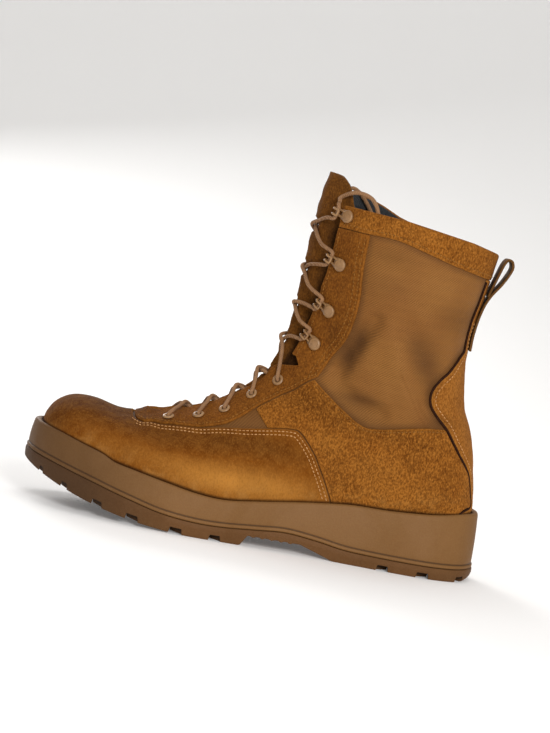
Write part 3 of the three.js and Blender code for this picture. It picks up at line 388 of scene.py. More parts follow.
def on_surface(distance, gx, gz, normal):
    """A distance in the side view, as measured along the surface."""
    lean = gx * normal[..., 0] + gz * normal[..., 2]
    return distance / np.sqrt(np.clip(1 - lean ** 2, 0.06, 1))


def tube(path, radius, sides=10):
    """Points and triangles of a closed tube through path (n, 3)."""
    path = np.asarray(path, float)
    n = len(path)
    run = np.gradient(path, axis=0)
    run /= np.maximum(np.linalg.norm(run, axis=1, keepdims=True), 1e-9)
    normal = np.array([0.3, 0.2, 1.0])
    radius = np.broadcast_to(np.asarray(radius, float), (n,))
    rings = []
    for i in range(n):
        normal = normal - run[i] * normal.dot(run[i])
        normal /= np.linalg.norm(normal)
        side = np.cross(run[i], normal)
        angle = 2 * np.pi * np.arange(sides) / sides
        rings.append(path[i] + radius[i] * (np.cos(angle)[:, None] * normal + np.sin(angle)[:, None] * side))
    points = np.vstack([*rings, path[0], path[-1]])
    k = np.arange(sides)
    after = (k + 1) % sides
    first, last, end = n * sides, n * sides + 1, (n - 1) * sides
    caps = [np.c_[after, k, np.full(sides, first)], np.c_[end + k, end + after, np.full(sides, last)]]
    return points, np.vstack(between_rings(n, sides) + caps)


def through(points, step=1.2):
    """A smooth path through the points, in steps of about step."""
    points = np.asarray(points, float)
    fine = along(points, np.linspace(0, len(points) - 1, (len(points) - 1) * 40 + 1))
    length = np.r_[0, np.cumsum(np.linalg.norm(np.diff(fine, axis=0), axis=1))]
    at = np.linspace(0, length[-1], max(int(length[-1] / step), 3) + 1)
    return np.stack([np.interp(at, length, fine[:, k]) for k in range(3)], 1)


def joined(parts):
    """Several meshes as one."""
    points, faces, start = [], [], 0
    for p, f in parts:
        points.append(p)
        faces.append(np.asarray(f) + start)
        start += len(p)
    return np.vstack(points), np.vstack(faces)


def lathe(profile, sides=24):
    """A closed ring or disc turned about Z from a closed loop or an axis-to-axis profile of (r, z)."""
    profile = np.asarray(profile, float)
    angle = 2 * np.pi * np.arange(sides) / sides
    rings = [np.stack([r * np.cos(angle), r * np.sin(angle), np.full(sides, z)], 1) for r, z in profile]
    return weld(np.vstack(rings), np.vstack(between_rings(len(rings), sides)))


def placed(points, seated):
    """Points whose X is ahead, Y across and Z away from the surface, put at a seat."""
    across = np.cross(seated["out"], seated["front"])
    return seated["place"] + points @ np.stack([seated["front"], across, seated["out"]])


# The surface of the upper, with its creases.

# Soft troughs (negative) and ridges pressed into the shaft and the vamp. A line in the side view, half width
# across it, height, and the side it is on (0 is both).
CREASES = [
    ([(-64, 161), (-70, 148), (-76, 134), (-80, 124)], 4.6, -3.4, -1),
    ([(-54, 158), (-61, 143), (-67, 128)], 5, 1.6, -1),
    ([(-84, 150), (-85, 140), (-83, 132)], 4, 1.2, -1),
    ([(-40, 160), (-30, 146), (-21, 132), (-16, 118)], 7.5, -2.6, -1),
    ([(-50, 150), (-42, 134), (-34, 118)], 6, 1.7, -1),
    ([(-78, 114), (-64, 105), (-48, 101)], 4.4, -2.3, -1),
    ([(-84, 130), (-72, 137), (-60, 148)], 5, 0.8, -1),
    ([(-39, 131), (-31, 119), (-23, 107), (-17, 101)], 1.5, 1.3, -1),
    ([(-36, 127), (-29, 116), (-21, 106)], 2.2, -0.9, -1),
    ([(-70, 203), (-45, 192), (-16, 176)], 9, -1.6, -1),
    ([(-66, 186), (-44, 176), (-16, 160)], 8, 1.1, -1),
    ([(-108, 106), (-98, 99), (-84, 88)], 5, -1.8, -1),
    ([(-84, 92), (-72, 84), (-64, 70)], 5, 1.5, -1),
    ([(-92, 86), (-84, 74), (-78, 60)], 4.5, -1.3, -1),
    ([(-62, 84), (-46, 76), (-30, 78)], 6, -1.1, -1),
    ([(-162, 66), (-158, 54), (-156, 44)], 6, -0.9, 0),
    ([(-146, 66), (-142, 54), (-141, 44)], 6, 0.7, 0),
    ([(-128, 70), (-123, 58), (-121, 46)], 7, -0.9, 0),
    ([(-190, 60), (-187, 54), (-186, 46)], 6, -0.6, 0),
    ([(-216, 72), (-206, 66), (-190, 62)], 7, -1.2, 0),
    ([(-64, 164), (-68, 148), (-72, 130)], 6, -2.6, 1),
    ([(-36, 150), (-28, 134), (-22, 118)], 8, -2.2, 1),
    ([(-52, 146), (-46, 132), (-40, 118)], 6, 1.5, 1),
    ([(-74, 110), (-58, 103), (-44, 101)], 4.5, -1.8, 1),
    ([(-66, 198), (-44, 186), (-18, 172)], 10, -1.4, 1),
]


def wander(p, length, seed):
    """A smooth field of about plus and minus 1, that changes over length."""
    phase = np.array([[1.3, 4.1, 2.2], [3.7, 0.4, 5.1], [2.9, 5.6, 0.8]]) + seed
    turn = np.array([[0.8, 0.36, 0.49], [-0.45, 0.75, 0.56], [0.31, -0.62, 0.78]]) * 2 * np.pi / length
    q = p @ turn.T
    return (np.sin(q[..., 0] + phase[0, 0]) * np.sin(q[..., 1] + phase[1, 1])
            + np.sin(1.7 * q[..., 1] + phase[0, 2]) * np.sin(1.4 * q[..., 2] + phase[2, 0])
            + np.sin(2.3 * q[..., 2] + phase[1, 0]) * np.sin(0.9 * q[..., 0] + phase[2, 2])) / 2


def crease_height(p):
    x, y, z = p[..., 0], p[..., 1], p[..., 2]
    total = np.zeros(x.shape)
    for line, half, height, side in CREASES:
        smooth = smooth_line(np.array(line, float), 4)
        distance, _, _ = polygon_distance(x, z, smooth, closed=False)
        t = np.clip(1 - (distance / (half * 2.2)) ** 2, 0, 1)
        reach = np.clip(side * y / 12, 0, 1) if side else np.clip(np.abs(y) / 14, 0, 1)
        total += height * t ** 3 * reach
    shaft = np.clip((z - 105) / 30, 0, 1) * np.clip((228 - z) / 20, 0.25, 1) * np.clip((x + 92) / 14, 0, 1)
    total += 0.8 * shaft * wander(p, 95, 0.4)
    total += 0.22 * wander(p, 38, 1.7) + 0.1 * wander(p, 17, 2.9)
    return total


def nylon_distance(p):
    """How far a place is inside the seams of the nylon panel in the side view."""
    outline = np.vstack([smooth_line(FACING_BACK), smooth_line(CUFF_LOW)[6:36], smooth_line(BACKSTAY_HIGH)[::-1],
                         smooth_line(QUARTER_TOP)[::-1]])
    return polygon_distance(p[..., 0], p[..., 2], outline)[0]


def seam_puff(distance):
    """The nylon panels stand a little proud between their seams."""
    t = np.clip(distance / 16, 0, 1)
    return t * (2 - t)


# Patches of the surface that are lighter or darker than the rest: uneven colour, scuffed and dusty patches, and
# painted shade in the creases and folds and along the top of the toe and vamp. Columns: x, z, half length, half height,
# tone, side.
TONES_AND_SHADE = [
    (-240, 72, 34, 12, -0.8, 0), (-262, 56, 14, 12, -0.5, 0), (-210, 68, 22, 8, -0.5, 0), (-176, 60, 34, 9, -0.45, 0),
    (-140, 66, 26, 8, -0.5, 0), (-108, 66, 20, 8, -0.35, 0), (-222, 50, 20, 6, 0.2, 0), (-186, 46, 26, 7, 0.3, 0),
    (-150, 40, 26, 9, 0.75, 0), (-112, 40, 34, 10, 0.8, 0), (-92, 56, 14, 12, -0.1, 0), (-20, 52, 30, 12, 0.25, 0),
    (-66, 92, 20, 10, -0.45, 0), (-98, 100, 18, 9, -0.55, 0), (-80, 76, 10, 10, 0.45, 0), (-28, 88, 26, 7, -0.35, 0),
    (-44, 62, 24, 12, 0.2, 0), (4, 60, 8, 14, -0.25, 0), (-110, 116, 14, 10, -0.2, 0), (-92, 128, 8, 9, 0.35, 0),
    (-71, 146, 6, 10, -0.95, -1), (-77, 133, 6, 9, -0.95, -1), (-34, 150, 10, 9, -0.5, -1), (-25, 139, 9, 10, -0.65, -1),
    (-17, 126, 7, 10, -0.6, -1), (-62, 108, 15, 5, -0.75, -1), (-42, 116, 14, 12, 0.3, -1), (-44, 138, 8, 16, 0.25, -1),
    (-6, 172, 16, 10, -0.4, 0), (-60, 186, 20, 7, -0.25, 0), (-62, 204, 18, 7, -0.25, 0), (-34, 190, 24, 8, 0.18, 0),
    (-8, 128, 8, 20, 0.2, 0), (-9, 103, 9, 5, -0.8, 0), (20, 100, 9, 44, 0.3, 0), (-88, 176, 8, 30, -0.2, 0),
    (-86, 146, 8, 10, -0.3, 0), (-60, 222, 50, 8, 0.15, 0), (-84, 210, 10, 8, 0.1, 0),
]


# The patches summed at each point: uneven colour with painted shade among it.
def tone_and_shade_of(p):
    total = np.zeros(p.shape[:-1])
    for x, z, half_x, half_z, tone_and_shade, side in TONES_AND_SHADE:
        r2 = ((p[..., 0] - x) / half_x) ** 2 + ((p[..., 2] - z) / half_z) ** 2
        reach = np.clip(side * p[..., 1] / 10 + 0.5, 0, 1) if side else 1.0
        total += tone_and_shade * np.exp(-r2) * reach
    return total


class Surface:
    """The last as a grid of points about pitch apart, closed round the bottom."""

    def __init__(self, pitch, s_to=27.75):
        fine = np.linspace(0, s_to, 1200)
        shares = np.array([0, 0.12, 0.25, 0.4, 0.6, 0.8, 0.95, 1, -0.25, -0.5, -0.8])
        probe = last_point(fine[:, None], shares[None])
        step = np.linalg.norm(np.diff(probe, axis=0), axis=2).max(1)
        run = np.r_[0, np.cumsum(step)]
        rows = int(run[-1] / pitch)
        s = np.interp(np.linspace(0, run[-1], rows), run, fine)
        half = np.linspace(0, 1, 400)
        widest = 0
        columns = {}
        for side in (-1, 1):
            p = last_point(s[:, None], side * half[None])
            steps = np.linalg.norm(np.diff(p, axis=1), axis=2)
            arc = np.concatenate([np.zeros((rows, 1)), np.cumsum(steps, axis=1)], 1)
            widest = max(widest, arc[:, -1].max())
            columns[side] = arc
        k = int(widest / pitch)
        share = np.linspace(0, 1, k + 1)
        w = {}
        for side in (-1, 1):
            arc = columns[side]
            w[side] = np.stack([np.interp(share * a[-1], a, half) if a[-1] > 1e-6 else share for a in arc])
        w = np.concatenate([-w[-1][:, :0:-1], w[1][:, :-1]], axis=1)
        self.count = w.shape[1]
        self.rows = rows
        self.s = np.repeat(s[:, None], self.count, 1)
        self.w = w
        self.base = last_point(self.s, self.w)
        self.normal = last_normal(self.s, self.w)
        self.lift = crease_height(self.base)
        i, j = np.meshgrid(np.arange(rows - 1), np.arange(self.count), indexing="ij")
        a = i * self.count + j
        b = i * self.count + (j + 1) % self.count
        c, d = a + self.count, b + self.count
        flip = (j < self.count // 2)[..., None]
        one = np.where(flip, np.stack([a, c, d], -1), np.stack([a, c, b], -1)).reshape(-1, 3)
        two = np.where(flip, np.stack([a, d, b], -1), np.stack([b, c, d], -1)).reshape(-1, 3)
        self.faces = np.vstack([one, two])[:, ::-1]

    def flat(self, field):
        return field.reshape(self.rows * self.count, -1)


def gape_at(s, side):
    rows = THROAT[side]
    return along(rows, np.interp(s, rows[:, 0], np.arange(len(rows))))[..., 1]


def throat_field(s, w, base):
    """How far a place is outside the throat, in millimetres."""
    y = base[..., 1] - along(SECTIONS, s)[..., 6]
    gape = np.where(y < 0, gape_at(s, -1), gape_at(s, 1))
    across = np.where(np.abs(w) < 0.5, np.abs(y) - gape, 1e3)
    return np.maximum(across, (6.2 - s) * 17.5)


def collar_field(base):
    line = {side: np.array(COLLAR[side], float) for side in (-1, 1)}
    height = np.where(base[..., 1] < 0, np.interp(base[..., 0], line[-1][:, 0], line[-1][:, 1]),
                      np.interp(base[..., 0], line[1][:, 0], line[1][:, 1]))
    return height - base[..., 2]


def rim_field(base):
    return base[..., 2] - sole_height(2, base[..., 0])


def hole_field(base, seats, radius):
    nearest = np.full(base.shape[:-1], 1e3)
    for seated in seats:
        off = base - seated["place"]
        off = off - (off @ seated["out"])[..., None] * seated["out"]
        far = np.linalg.norm(base - seated["place"], axis=-1)
        distance = np.where(far < 12, np.linalg.norm(off, axis=-1) - radius, 1e3)
        nearest = np.minimum(nearest, distance)
    return nearest


EYELET_SEATS = {side: [seat(side, x, z, FITTING_SEAT) for x, z in EYELETS] for side in (-1, 1)}
HOOK_SEATS = {side: [seat(side, x, z, FITTING_SEAT) for x, z in HOOKS] for side in (-1, 1)}
SIDE_NAME = {-1: "lateral", 1: "medial"}

fine_grid = Surface(1.45)
BASE, NORMAL = fine_grid.flat(fine_grid.base), fine_grid.flat(fine_grid.normal)
LIFT = fine_grid.flat(fine_grid.lift)[:, 0]
S, W = fine_grid.s.ravel(), fine_grid.w.ravel()


def side_polygon(polygon):
    signed, gx, gz = polygon_distance(BASE[:, 0], BASE[:, 2], polygon)
    return on_surface(signed, gx, gz, NORMAL)


def side_line(points):
    distance, gx, gz = polygon_distance(BASE[:, 0], BASE[:, 2], points, closed=False)
    return on_surface(distance, gx, gz, NORMAL)


THROAT_D = throat_field(S, W, BASE)
COLLAR_D = collar_field(BASE)
RIM_D = rim_field(BASE)
STEP_D = -side_polygon(np.array(FACING_STEP, float))
HOLES_D = hole_field(BASE, EYELET_SEATS[-1] + EYELET_SEATS[1], EYELET["hole"])

TOP_LINE = smooth_line(WING_TOP)
FACING_LOW_LINE = smooth_line(FACING_LOW) + (0, SEAM_GAP)
FACING_BACK_LINE = smooth_line(FACING_BACK)
QUARTER_TOP_LINE = smooth_line(QUARTER_TOP)
BACK_LOW_LINE = smooth_line(BACKSTAY_LOW)
BACK_HIGH_LINE = smooth_line(BACKSTAY_HIGH)
CUFF_LINE = smooth_line(CUFF_LOW)
PIPING_ROOM = 1.5

under = TOP_LINE[(TOP_LINE[:, 0] > -119) & (TOP_LINE[:, 1] < 80)] + (SEAM_GAP, SEAM_GAP)
low = smooth_line(FACING_LOW) + (0, -SEAM_GAP)
low = low[low[:, 0] > -128]
POLYGONS = {
    "vamp": np.vstack([TOP_LINE, [(-66, 10), (-300, 10), (-300, 84)]]),
    "eyestay": np.vstack([FACING_LOW_LINE, FACING_BACK_LINE, [(-97.7, 216.3), (-150, 217), (-215, 150)]]),
    "quarter": np.vstack([QUARTER_FRONT, [(-119, 77.7)], under, [(-66, 10)],
                          [(60, 10), (60, 99)], QUARTER_TOP_LINE[::-1], low[::-1]]),
    "backstay": np.vstack([[(60, 10), (14 + PIPING_ROOM, 10)], BACK_LOW_LINE + (PIPING_ROOM, 0.4),
                           BACK_HIGH_LINE + (PIPING_ROOM, 0), [(8, 200), (60, 190)]]),
}


def rounded(d, radius):
    t = np.clip(d / radius, 0, 1)
    return np.sqrt(np.clip(1 - (1 - t) ** 2, 0, 1))


def unit(vectors):
    return vectors / np.linalg.norm(vectors, axis=1, keepdims=True)


def twice(values):
    """Values for both faces of a sheet."""
    return np.r_[values, values]


# Columns of the rows that surface meshes are cut from. Z is height, and EXTRA is the first of a piece's own.
X, Z, AT, OUT, RAISED = 0, 2, slice(0, 3), slice(3, 6), 6
ABOVE_RIM, FIELD, EXTRA = 7, 8, 9
PUFF = 7
BELOW_COLLAR, OFF_THROAT = 7, 8
FAR_FROM_SOLE = 60.0


def make_panel(name, field, materials, nodes, thick=SUEDE, radius=0.8, under_lift=0.13, slot="suede", extra=None,
               top_lift=GAP, levels=(0.12, 0.4, 0.8), raised=0.0):
    """A leather panel that lies on the upper where field is positive, as a closed sheet with a rounded edge."""
    faces = fine_grid.faces[(field[fine_grid.faces] > 0).any(1)]
    columns = [BASE, NORMAL, (LIFT + raised)[:, None], RIM_D[:, None], field[:, None]]
    if extra:
        columns += [value[:, None] for value in extra.values()]
    rows = np.hstack(columns)
    rows, faces = trim(rows, faces)[:2]
    for level in (0.0, *levels):
        rows, faces = split(rows, faces, FIELD, level)
        if level == 0.0:
            faces = faces[rows[faces, FIELD].mean(1) > 0]
            rows, faces = trim(rows, faces)[:2]
    base, normal = rows[:, AT], unit(rows[:, OUT])
    lift, d = rows[:, RAISED], np.maximum(rows[:, FIELD], 0)
    top = base + normal * (lift + top_lift + thick * rounded(d, radius))[:, None]
    bottom = base + normal * (lift + under_lift)[:, None]
    attributes = {"edge": twice(d), "sole": twice(rows[:, ABOVE_RIM]), "tone_and_shade": twice(tone_and_shade_of(base))}
    for k, key in enumerate(extra or {}):
        attributes[key] = twice(rows[:, EXTRA + k])
    put(name, np.vstack([top, bottom]), sheet_faces(faces, len(rows)), materials, nodes=nodes, slot=slot,
        attributes=attributes)
    return rows, faces


# Stitching.

def iso_chains(rows, faces, values, level):
    """Lines of points where values cross level, each with the surface normal."""
    f = values - level
    f = np.where(np.abs(f) < 1e-6, 1e-6, f)
    above = f > 0
    count = above[faces].sum(1)
    t = faces[(count == 1) | (count == 2)]
    if not len(t):
        return []
    a = above[t]
    lone = np.where(a.sum(1) == 1, a.argmax(1), (~a).argmax(1))
    r = np.arange(len(t))
    p, q, o = t[r, lone], t[r, (lone + 1) % 3], t[r, (lone + 2) % 3]
    edges = np.sort(np.vstack([np.c_[p, q], np.c_[p, o]]), axis=1)
    unique, inverse = np.unique(edges, axis=0, return_inverse=True)
    inverse = inverse.ravel()
    share = (f[unique[:, 0]] / (f[unique[:, 0]] - f[unique[:, 1]]))[:, None]
    nodes = rows[unique[:, 0]] * (1 - share) + rows[unique[:, 1]] * share
    links = {}
    for one, two in zip(inverse[:len(t)].tolist(), inverse[len(t):].tolist()):
        links.setdefault(one, []).append(two)
        links.setdefault(two, []).append(one)
    chains, used = [], set()
    starts = [k for k, v in links.items() if len(v) == 1] + list(links)
    for start in starts:
        if start in used:
            continue
        chain, here = [start], start
        used.add(start)
        while True:
            step = [k for k in links[here] if k not in used]
            if not step:
                break
            here = step[0]
            used.add(here)
            chain.append(here)
        if len(chain) > 3:
            chains.append(nodes[chain])
    return chains


def capsule(start, end, out, radius):
    """One stitch: a short thread that dips into the leather at both ends."""
    run = end - start
    length = np.linalg.norm(run)
    run = run / length
    side = np.cross(out, run)
    sides = 6
    angle = 2 * np.pi * np.arange(sides) / sides
    points = [start - out * radius * 1.2]
    for t, swell, rise in ((0.06, 0.75, -0.15), (0.3, 1, 0.45), (0.7, 1, 0.45), (0.94, 0.75, -0.15)):
        centre = start + run * length * t + out * radius * rise
        ring = np.cos(angle)[:, None] * out * 0.8 + np.sin(angle)[:, None] * side
        points += list(centre + radius * swell * ring)
    points.append(end - out * radius * 1.2)
    faces = [(0, 1 + (k + 1) % sides, 1 + k) for k in range(sides)]
    for ring in range(3):
        a0 = 1 + ring * sides
        for k in range(sides):
            a, b = a0 + k, a0 + (k + 1) % sides
            faces += [(a, b, b + sides), (a, b + sides, a + sides)]
    a0 = 1 + 3 * sides
    faces += [(a0 + k, a0 + (k + 1) % sides, 1 + 4 * sides) for k in range(sides)]
    return np.array(points), np.array(faces)


STITCHES = {}


def sew(row_key, rows, faces, values, inset, keep, thread, pitch=2.6, length=1.9, radius=0.36,
        height=GAP + SUEDE):
    """Stitches along the line where values is inset, where keep(rows) holds."""
    made = []
    for chain in iso_chains(rows, faces, values, inset):
        ok = keep(chain)
        place = chain[:, AT] + unit(chain[:, OUT]) * (chain[:, RAISED] + height)[:, None]
        arc = np.r_[0, np.cumsum(np.linalg.norm(np.diff(place, axis=0), axis=1))]
        count = int(arc[-1] / pitch)
        for k in range(count):
            a, b = k * pitch + 0.3, k * pitch + 0.3 + length
            middle = np.interp((a + b) / 2, arc, ok.astype(float))
            if middle < 0.9 or b > arc[-1]:
                continue
            ends = [np.array([np.interp(v, arc, place[:, c]) for c in range(3)]) for v in (a, b)]
            out = np.array([np.interp((a + b) / 2, arc, chain[:, 3 + c]) for c in range(3)])
            out /= np.linalg.norm(out)
            made.append(capsule(ends[0], ends[1], out, radius))
    STITCHES.setdefault((row_key, thread), []).extend(made)


# Materials.

def colour(code):
    """A linear colour from a hexadecimal screen colour."""
    parts = [int(code[i:i + 2], 16) / 255 for i in (1, 3, 5)]
    return (*[c / 12.92 if c <= 0.04045 else ((c + 0.055) / 1.055) ** 2.4 for c in parts], 1.0)


class Tree:
    """Short calls for the nodes of one material or group."""

    def __init__(self, tree):
        self.tree = tree

    def node(self, kind, inputs=None, **settings):
        made = self.tree.nodes.new(kind)
        for key, value in settings.items():
            setattr(made, key, value)
        for key, value in (inputs or {}).items():
            self.feed(made.inputs[key], value)
        return made

    def feed(self, socket, value):
        if isinstance(value, bpy.types.NodeSocket):
            self.tree.links.new(value, socket)
        else:
            socket.default_value = value

    def math(self, operation, a, b=0.0, c=None, clamp=False):
        made = self.node("ShaderNodeMath", operation=operation, use_clamp=clamp)
        for i, value in enumerate((a, b) if c is None else (a, b, c)):
            self.feed(made.inputs[i], value)
        return made.outputs[0]

    def blend(self, share, a, b, mode="MIX"):
        made = self.node("ShaderNodeMix", data_type="RGBA", blend_type=mode, clamp_factor=True)
        self.feed(made.inputs[0], share)
        self.feed(made.inputs[6], a)
        self.feed(made.inputs[7], b)
        return made.outputs[2]

    def ramp(self, value, low, high, to_low=0.0, to_high=1.0):
        made = self.node("ShaderNodeMapRange", interpolation_type="SMOOTHSTEP")
        for i, v in enumerate((value, low, high, to_low, to_high)):
            self.feed(made.inputs[i], v)
        return made.outputs[0]

    def noise(self, scale, detail=2.0, roughness=0.5, distortion=0.0, where=None):
        made = self.node("ShaderNodeTexNoise", {"Scale": scale, "Detail": detail, "Roughness": roughness,
                                                "Distortion": distortion})
        self.tree.links.new(where or self.place(), made.inputs["Vector"])
        return made.outputs["Fac"]

    def place(self):
        return self.node("ShaderNodeTexCoord").outputs["Object"]

    def attribute(self, name):
        return self.node("ShaderNodeAttribute", attribute_name=name).outputs["Fac"]

    def bump(self, height, strength, distance):
        given = {"Strength": strength, "Distance": distance, "Height": height}
        return self.node("ShaderNodeBump", given).outputs[0]


def new_group(name, inputs, outputs):
    group = bpy.data.node_groups.new(name, "ShaderNodeTree")
    for key, default in inputs.items():
        kind = "NodeSocketColor" if isinstance(default, tuple) else "NodeSocketFloat"
        group.interface.new_socket(key, in_out="INPUT", socket_type=kind).default_value = default
    for key, kind in outputs.items():
        group.interface.new_socket(key, in_out="OUTPUT", socket_type=kind)
    tree = Tree(group)
    return group, tree, group.nodes.new("NodeGroupInput").outputs, group.nodes.new("NodeGroupOutput").inputs


FLOAT, COLOR = "NodeSocketFloat", "NodeSocketColor"


def nap_group():
    """Suede nap: brushed blotches, grain and short fibres."""
    sockets = {"Colour": (0.3, 0.1, 0.02, 1.0), "Dark": (0.1, 0.04, 0.01, 1.0), "Light": (0.5, 0.25, 0.08, 1.0),
               "Grain": 1.0}
    group, t, given, out = new_group("suede_nap", sockets, {"Colour": COLOR, "Height": FLOAT})
    blotch = t.ramp(t.noise(46, 4, 0.62, 0.6), 0.3, 0.7)
    cloud = t.ramp(t.noise(170, 3, 0.6, 0.8), 0.28, 0.72)
    stretched = t.node("ShaderNodeMapping", {"Vector": t.place(), "Scale": (1.0, 1.0, 0.55)}).outputs[0]
    speck = t.ramp(t.noise(1050, 3, 0.65, where=stretched), 0.25, 0.75)
    fibre = t.ramp(t.noise(1500, 2, 0.6), 0.25, 0.75)
    rough = t.math("MULTIPLY_ADD", given["Grain"], 0.6, 0.4)
    patch = t.math("MULTIPLY", t.math("SUBTRACT", 1.0, blotch), t.math("MULTIPLY", rough, 0.3))
    shade = t.blend(patch, given["Colour"], given["Dark"])
    shade = t.blend(t.math("MULTIPLY", cloud, t.math("MULTIPLY", rough, 0.26)), shade, given["Light"])
    dark_speck = t.math("MULTIPLY", t.ramp(speck, 0.55, 0.15), given["Grain"])
    shade = t.blend(t.math("MULTIPLY", dark_speck, 0.6), shade, given["Dark"])
    light_speck = t.math("MULTIPLY", t.ramp(speck, 0.55, 0.92), given["Grain"])
    shade = t.blend(t.math("MULTIPLY", light_speck, 0.55), shade, given["Light"])
    t.feed(out["Colour"], shade)
    grain = t.math("MULTIPLY_ADD", speck, 0.7, t.math("MULTIPLY", fibre, 0.45))
    t.feed(out["Height"], t.math("MULTIPLY_ADD", cloud, 0.35, grain))
    return group


def twill_group():
    """Nylon twill: fine slanting ribs with the crossing threads between them."""
    group, t, given, out = new_group("twill_weave", {"Pitch": 0.0012, "Slant": 0.9},
                                     {"Rib": FLOAT, "Height": FLOAT})
    split_xyz = t.node("ShaderNodeSeparateXYZ", {0: t.place()}).outputs
    along_cloth = t.math("ADD", split_xyz[0], t.math("MULTIPLY", split_xyz[1], 0.35))
    slanted = t.math("ADD", along_cloth, t.math("MULTIPLY", split_xyz[2], given["Slant"]))
    crossing = t.math("SUBTRACT", t.math("MULTIPLY", along_cloth, 0.8), split_xyz[2])
    sway = t.math("MULTIPLY", t.noise(240, 2), 0.0007)

    def wave(value, pitch):
        turns = t.math("MULTIPLY", t.math("ADD", value, sway), 6.2832)
        return t.math("SINE", t.math("DIVIDE", turns, pitch))

    rib = t.math("MULTIPLY_ADD", wave(slanted, given["Pitch"]), 0.5, 0.5)
    cross = t.math("MULTIPLY_ADD", wave(crossing, t.math("MULTIPLY", given["Pitch"], 0.8)), 0.5, 0.5)
    t.feed(out["Rib"], t.math("MULTIPLY_ADD", cross, 0.3, t.math("MULTIPLY", rib, 0.7)))
    t.feed(out["Height"], t.math("MULTIPLY_ADD", cross, 0.35, t.math("MULTIPLY", rib, 0.65)))
    return group


def dust_group():
    """Pale dust and rubbed marks: a patchy mask that is stronger where Low is near zero."""
    group, t, given, out = new_group("dust", {"Low": 100.0, "Reach": 14.0, "Amount": 0.3}, {"Mask": FLOAT})
    patch = t.ramp(t.noise(75, 5, 0.7, 0.4), 0.42, 0.72)
    streak = t.ramp(t.noise(330, 3, 0.6, 1.2), 0.5, 0.8)
    near = t.ramp(given["Low"], given["Reach"], 0.0)
    worn = t.math("MULTIPLY_ADD", near, 0.9, 0.12)
    mask = t.math("MULTIPLY", t.math("MULTIPLY_ADD", streak, 0.4, patch), worn)
    t.feed(out["Mask"], t.math("MULTIPLY", mask, given["Amount"], clamp=True))
    return group


NAP, TWILL, DUST = nap_group(), twill_group(), dust_group()


def use(t, group, **inputs):
    made = t.node("ShaderNodeGroup", node_tree=group)
    for key, value in inputs.items():
        t.feed(made.inputs[key.replace("_", " ")], value)
    return made.outputs


def finish_material(name, base, roughness, viewport="#888888", **sockets):
    """A material. base receives its tree and gives colour, roughness (or None) and normal."""
    material = bpy.data.materials.new(name)
    material.use_nodes = True
    material.diffuse_color = colour(viewport)
    tree = material.node_tree
    shader = tree.nodes["Principled BSDF"]
    t = Tree(tree)
    made = base(t)
    t.feed(shader.inputs["Base Color"], made[0])
    t.feed(shader.inputs["Roughness"], roughness if made[1] is None else made[1])
    t.feed(shader.inputs["Normal"], made[2])
    for key, value in sockets.items():
        shader.inputs[key.replace("_", " ")].default_value = value
    return material


def suede(name, mid, dark, light, pale, grain=1.0, bump=0.55):
    def base(t):
        # Lighter or darker per point: uneven colour, scuffed and dusty patches, and painted shade in creases and along
        # the toe top.
        tone_and_shade = t.attribute("tone_and_shade")
        shade = t.blend(t.math("MULTIPLY", tone_and_shade, -1.0, clamp=True), colour(mid), colour(dark))
        shade = t.blend(t.math("MULTIPLY", tone_and_shade, 0.9, clamp=True), shade, colour(light))
        nap = use(t, NAP, Colour=shade, Dark=colour(dark), Light=colour(light), Grain=grain)
        edge = t.attribute("edge")
        rub = t.math("MULTIPLY", t.ramp(edge, 1.1, 0.15), t.ramp(t.noise(260, 3, 0.6), 0.3, 0.7, 0.15, 0.55))
        shade = t.blend(rub, nap["Colour"], colour(light))
        sole = t.attribute("sole")
        dust = use(t, DUST, Low=sole, Reach=16.0, Amount=0.25)
        shade = t.blend(dust["Mask"], shade, colour(pale))
        # Painted shadow: a dark line just above the midsole rim, where the suede meets it.
        shade = t.blend(t.ramp(sole, 2.6, 0.6, 0.0, 0.85), shade, colour("#2a1404"))
        shade = t.blend(t.math("MULTIPLY", t.attribute("shadow"), 0.9, clamp=True), shade, colour("#170b03"))
        return shade, None, t.bump(nap["Height"], bump, 0.0005)

    return finish_material(name, base, 0.95, viewport=mid, Sheen_Weight=0.04, Sheen_Roughness=0.5,
                           Sheen_Tint=colour("#c98a48"), Specular_IOR_Level=0.1)


def nylon():
    def base(t):
        weave = use(t, TWILL, Pitch=0.0019, Slant=-0.95)
        tone_and_shade = t.attribute("tone_and_shade")
        broad = t.ramp(t.noise(28, 3, 0.5), 0.3, 0.7)
        shade = t.blend(broad, colour("#815222"), colour("#8b5c28"))
        # Darker and lighter per point: the darker patches include painted shade in the nylon's folds.
        shade = t.blend(t.math("MULTIPLY", tone_and_shade, -0.9, clamp=True), shade, colour("#452708"))
        shade = t.blend(t.math("MULTIPLY", tone_and_shade, 0.8, clamp=True), shade, colour("#a27038"))
        between = t.math("SUBTRACT", 1.0, weave["Rib"])
        shade = t.blend(t.math("MULTIPLY", between, 0.5), shade, colour("#4c2e10"))
        fleck = t.ramp(t.noise(1400, 2, 0.6), 0.62, 0.8, 0.0, 0.35)
        shade = t.blend(fleck, shade, colour("#a87844"))
        # Painted shade along the seams, where the nylon dips into them.
        painted_seam_shade = t.ramp(t.attribute("seam"), 5.0, 0.3, 0.0, 0.45)
        shade = t.blend(painted_seam_shade, shade, colour("#4c2f12"))
        return shade, None, t.bump(weave["Height"], 0.5, 0.0004)

    return finish_material("nylon_twill", base, 0.78, viewport="#8a6034", Sheen_Weight=0.03, Sheen_Roughness=0.4,
                           Specular_IOR_Level=0.2)


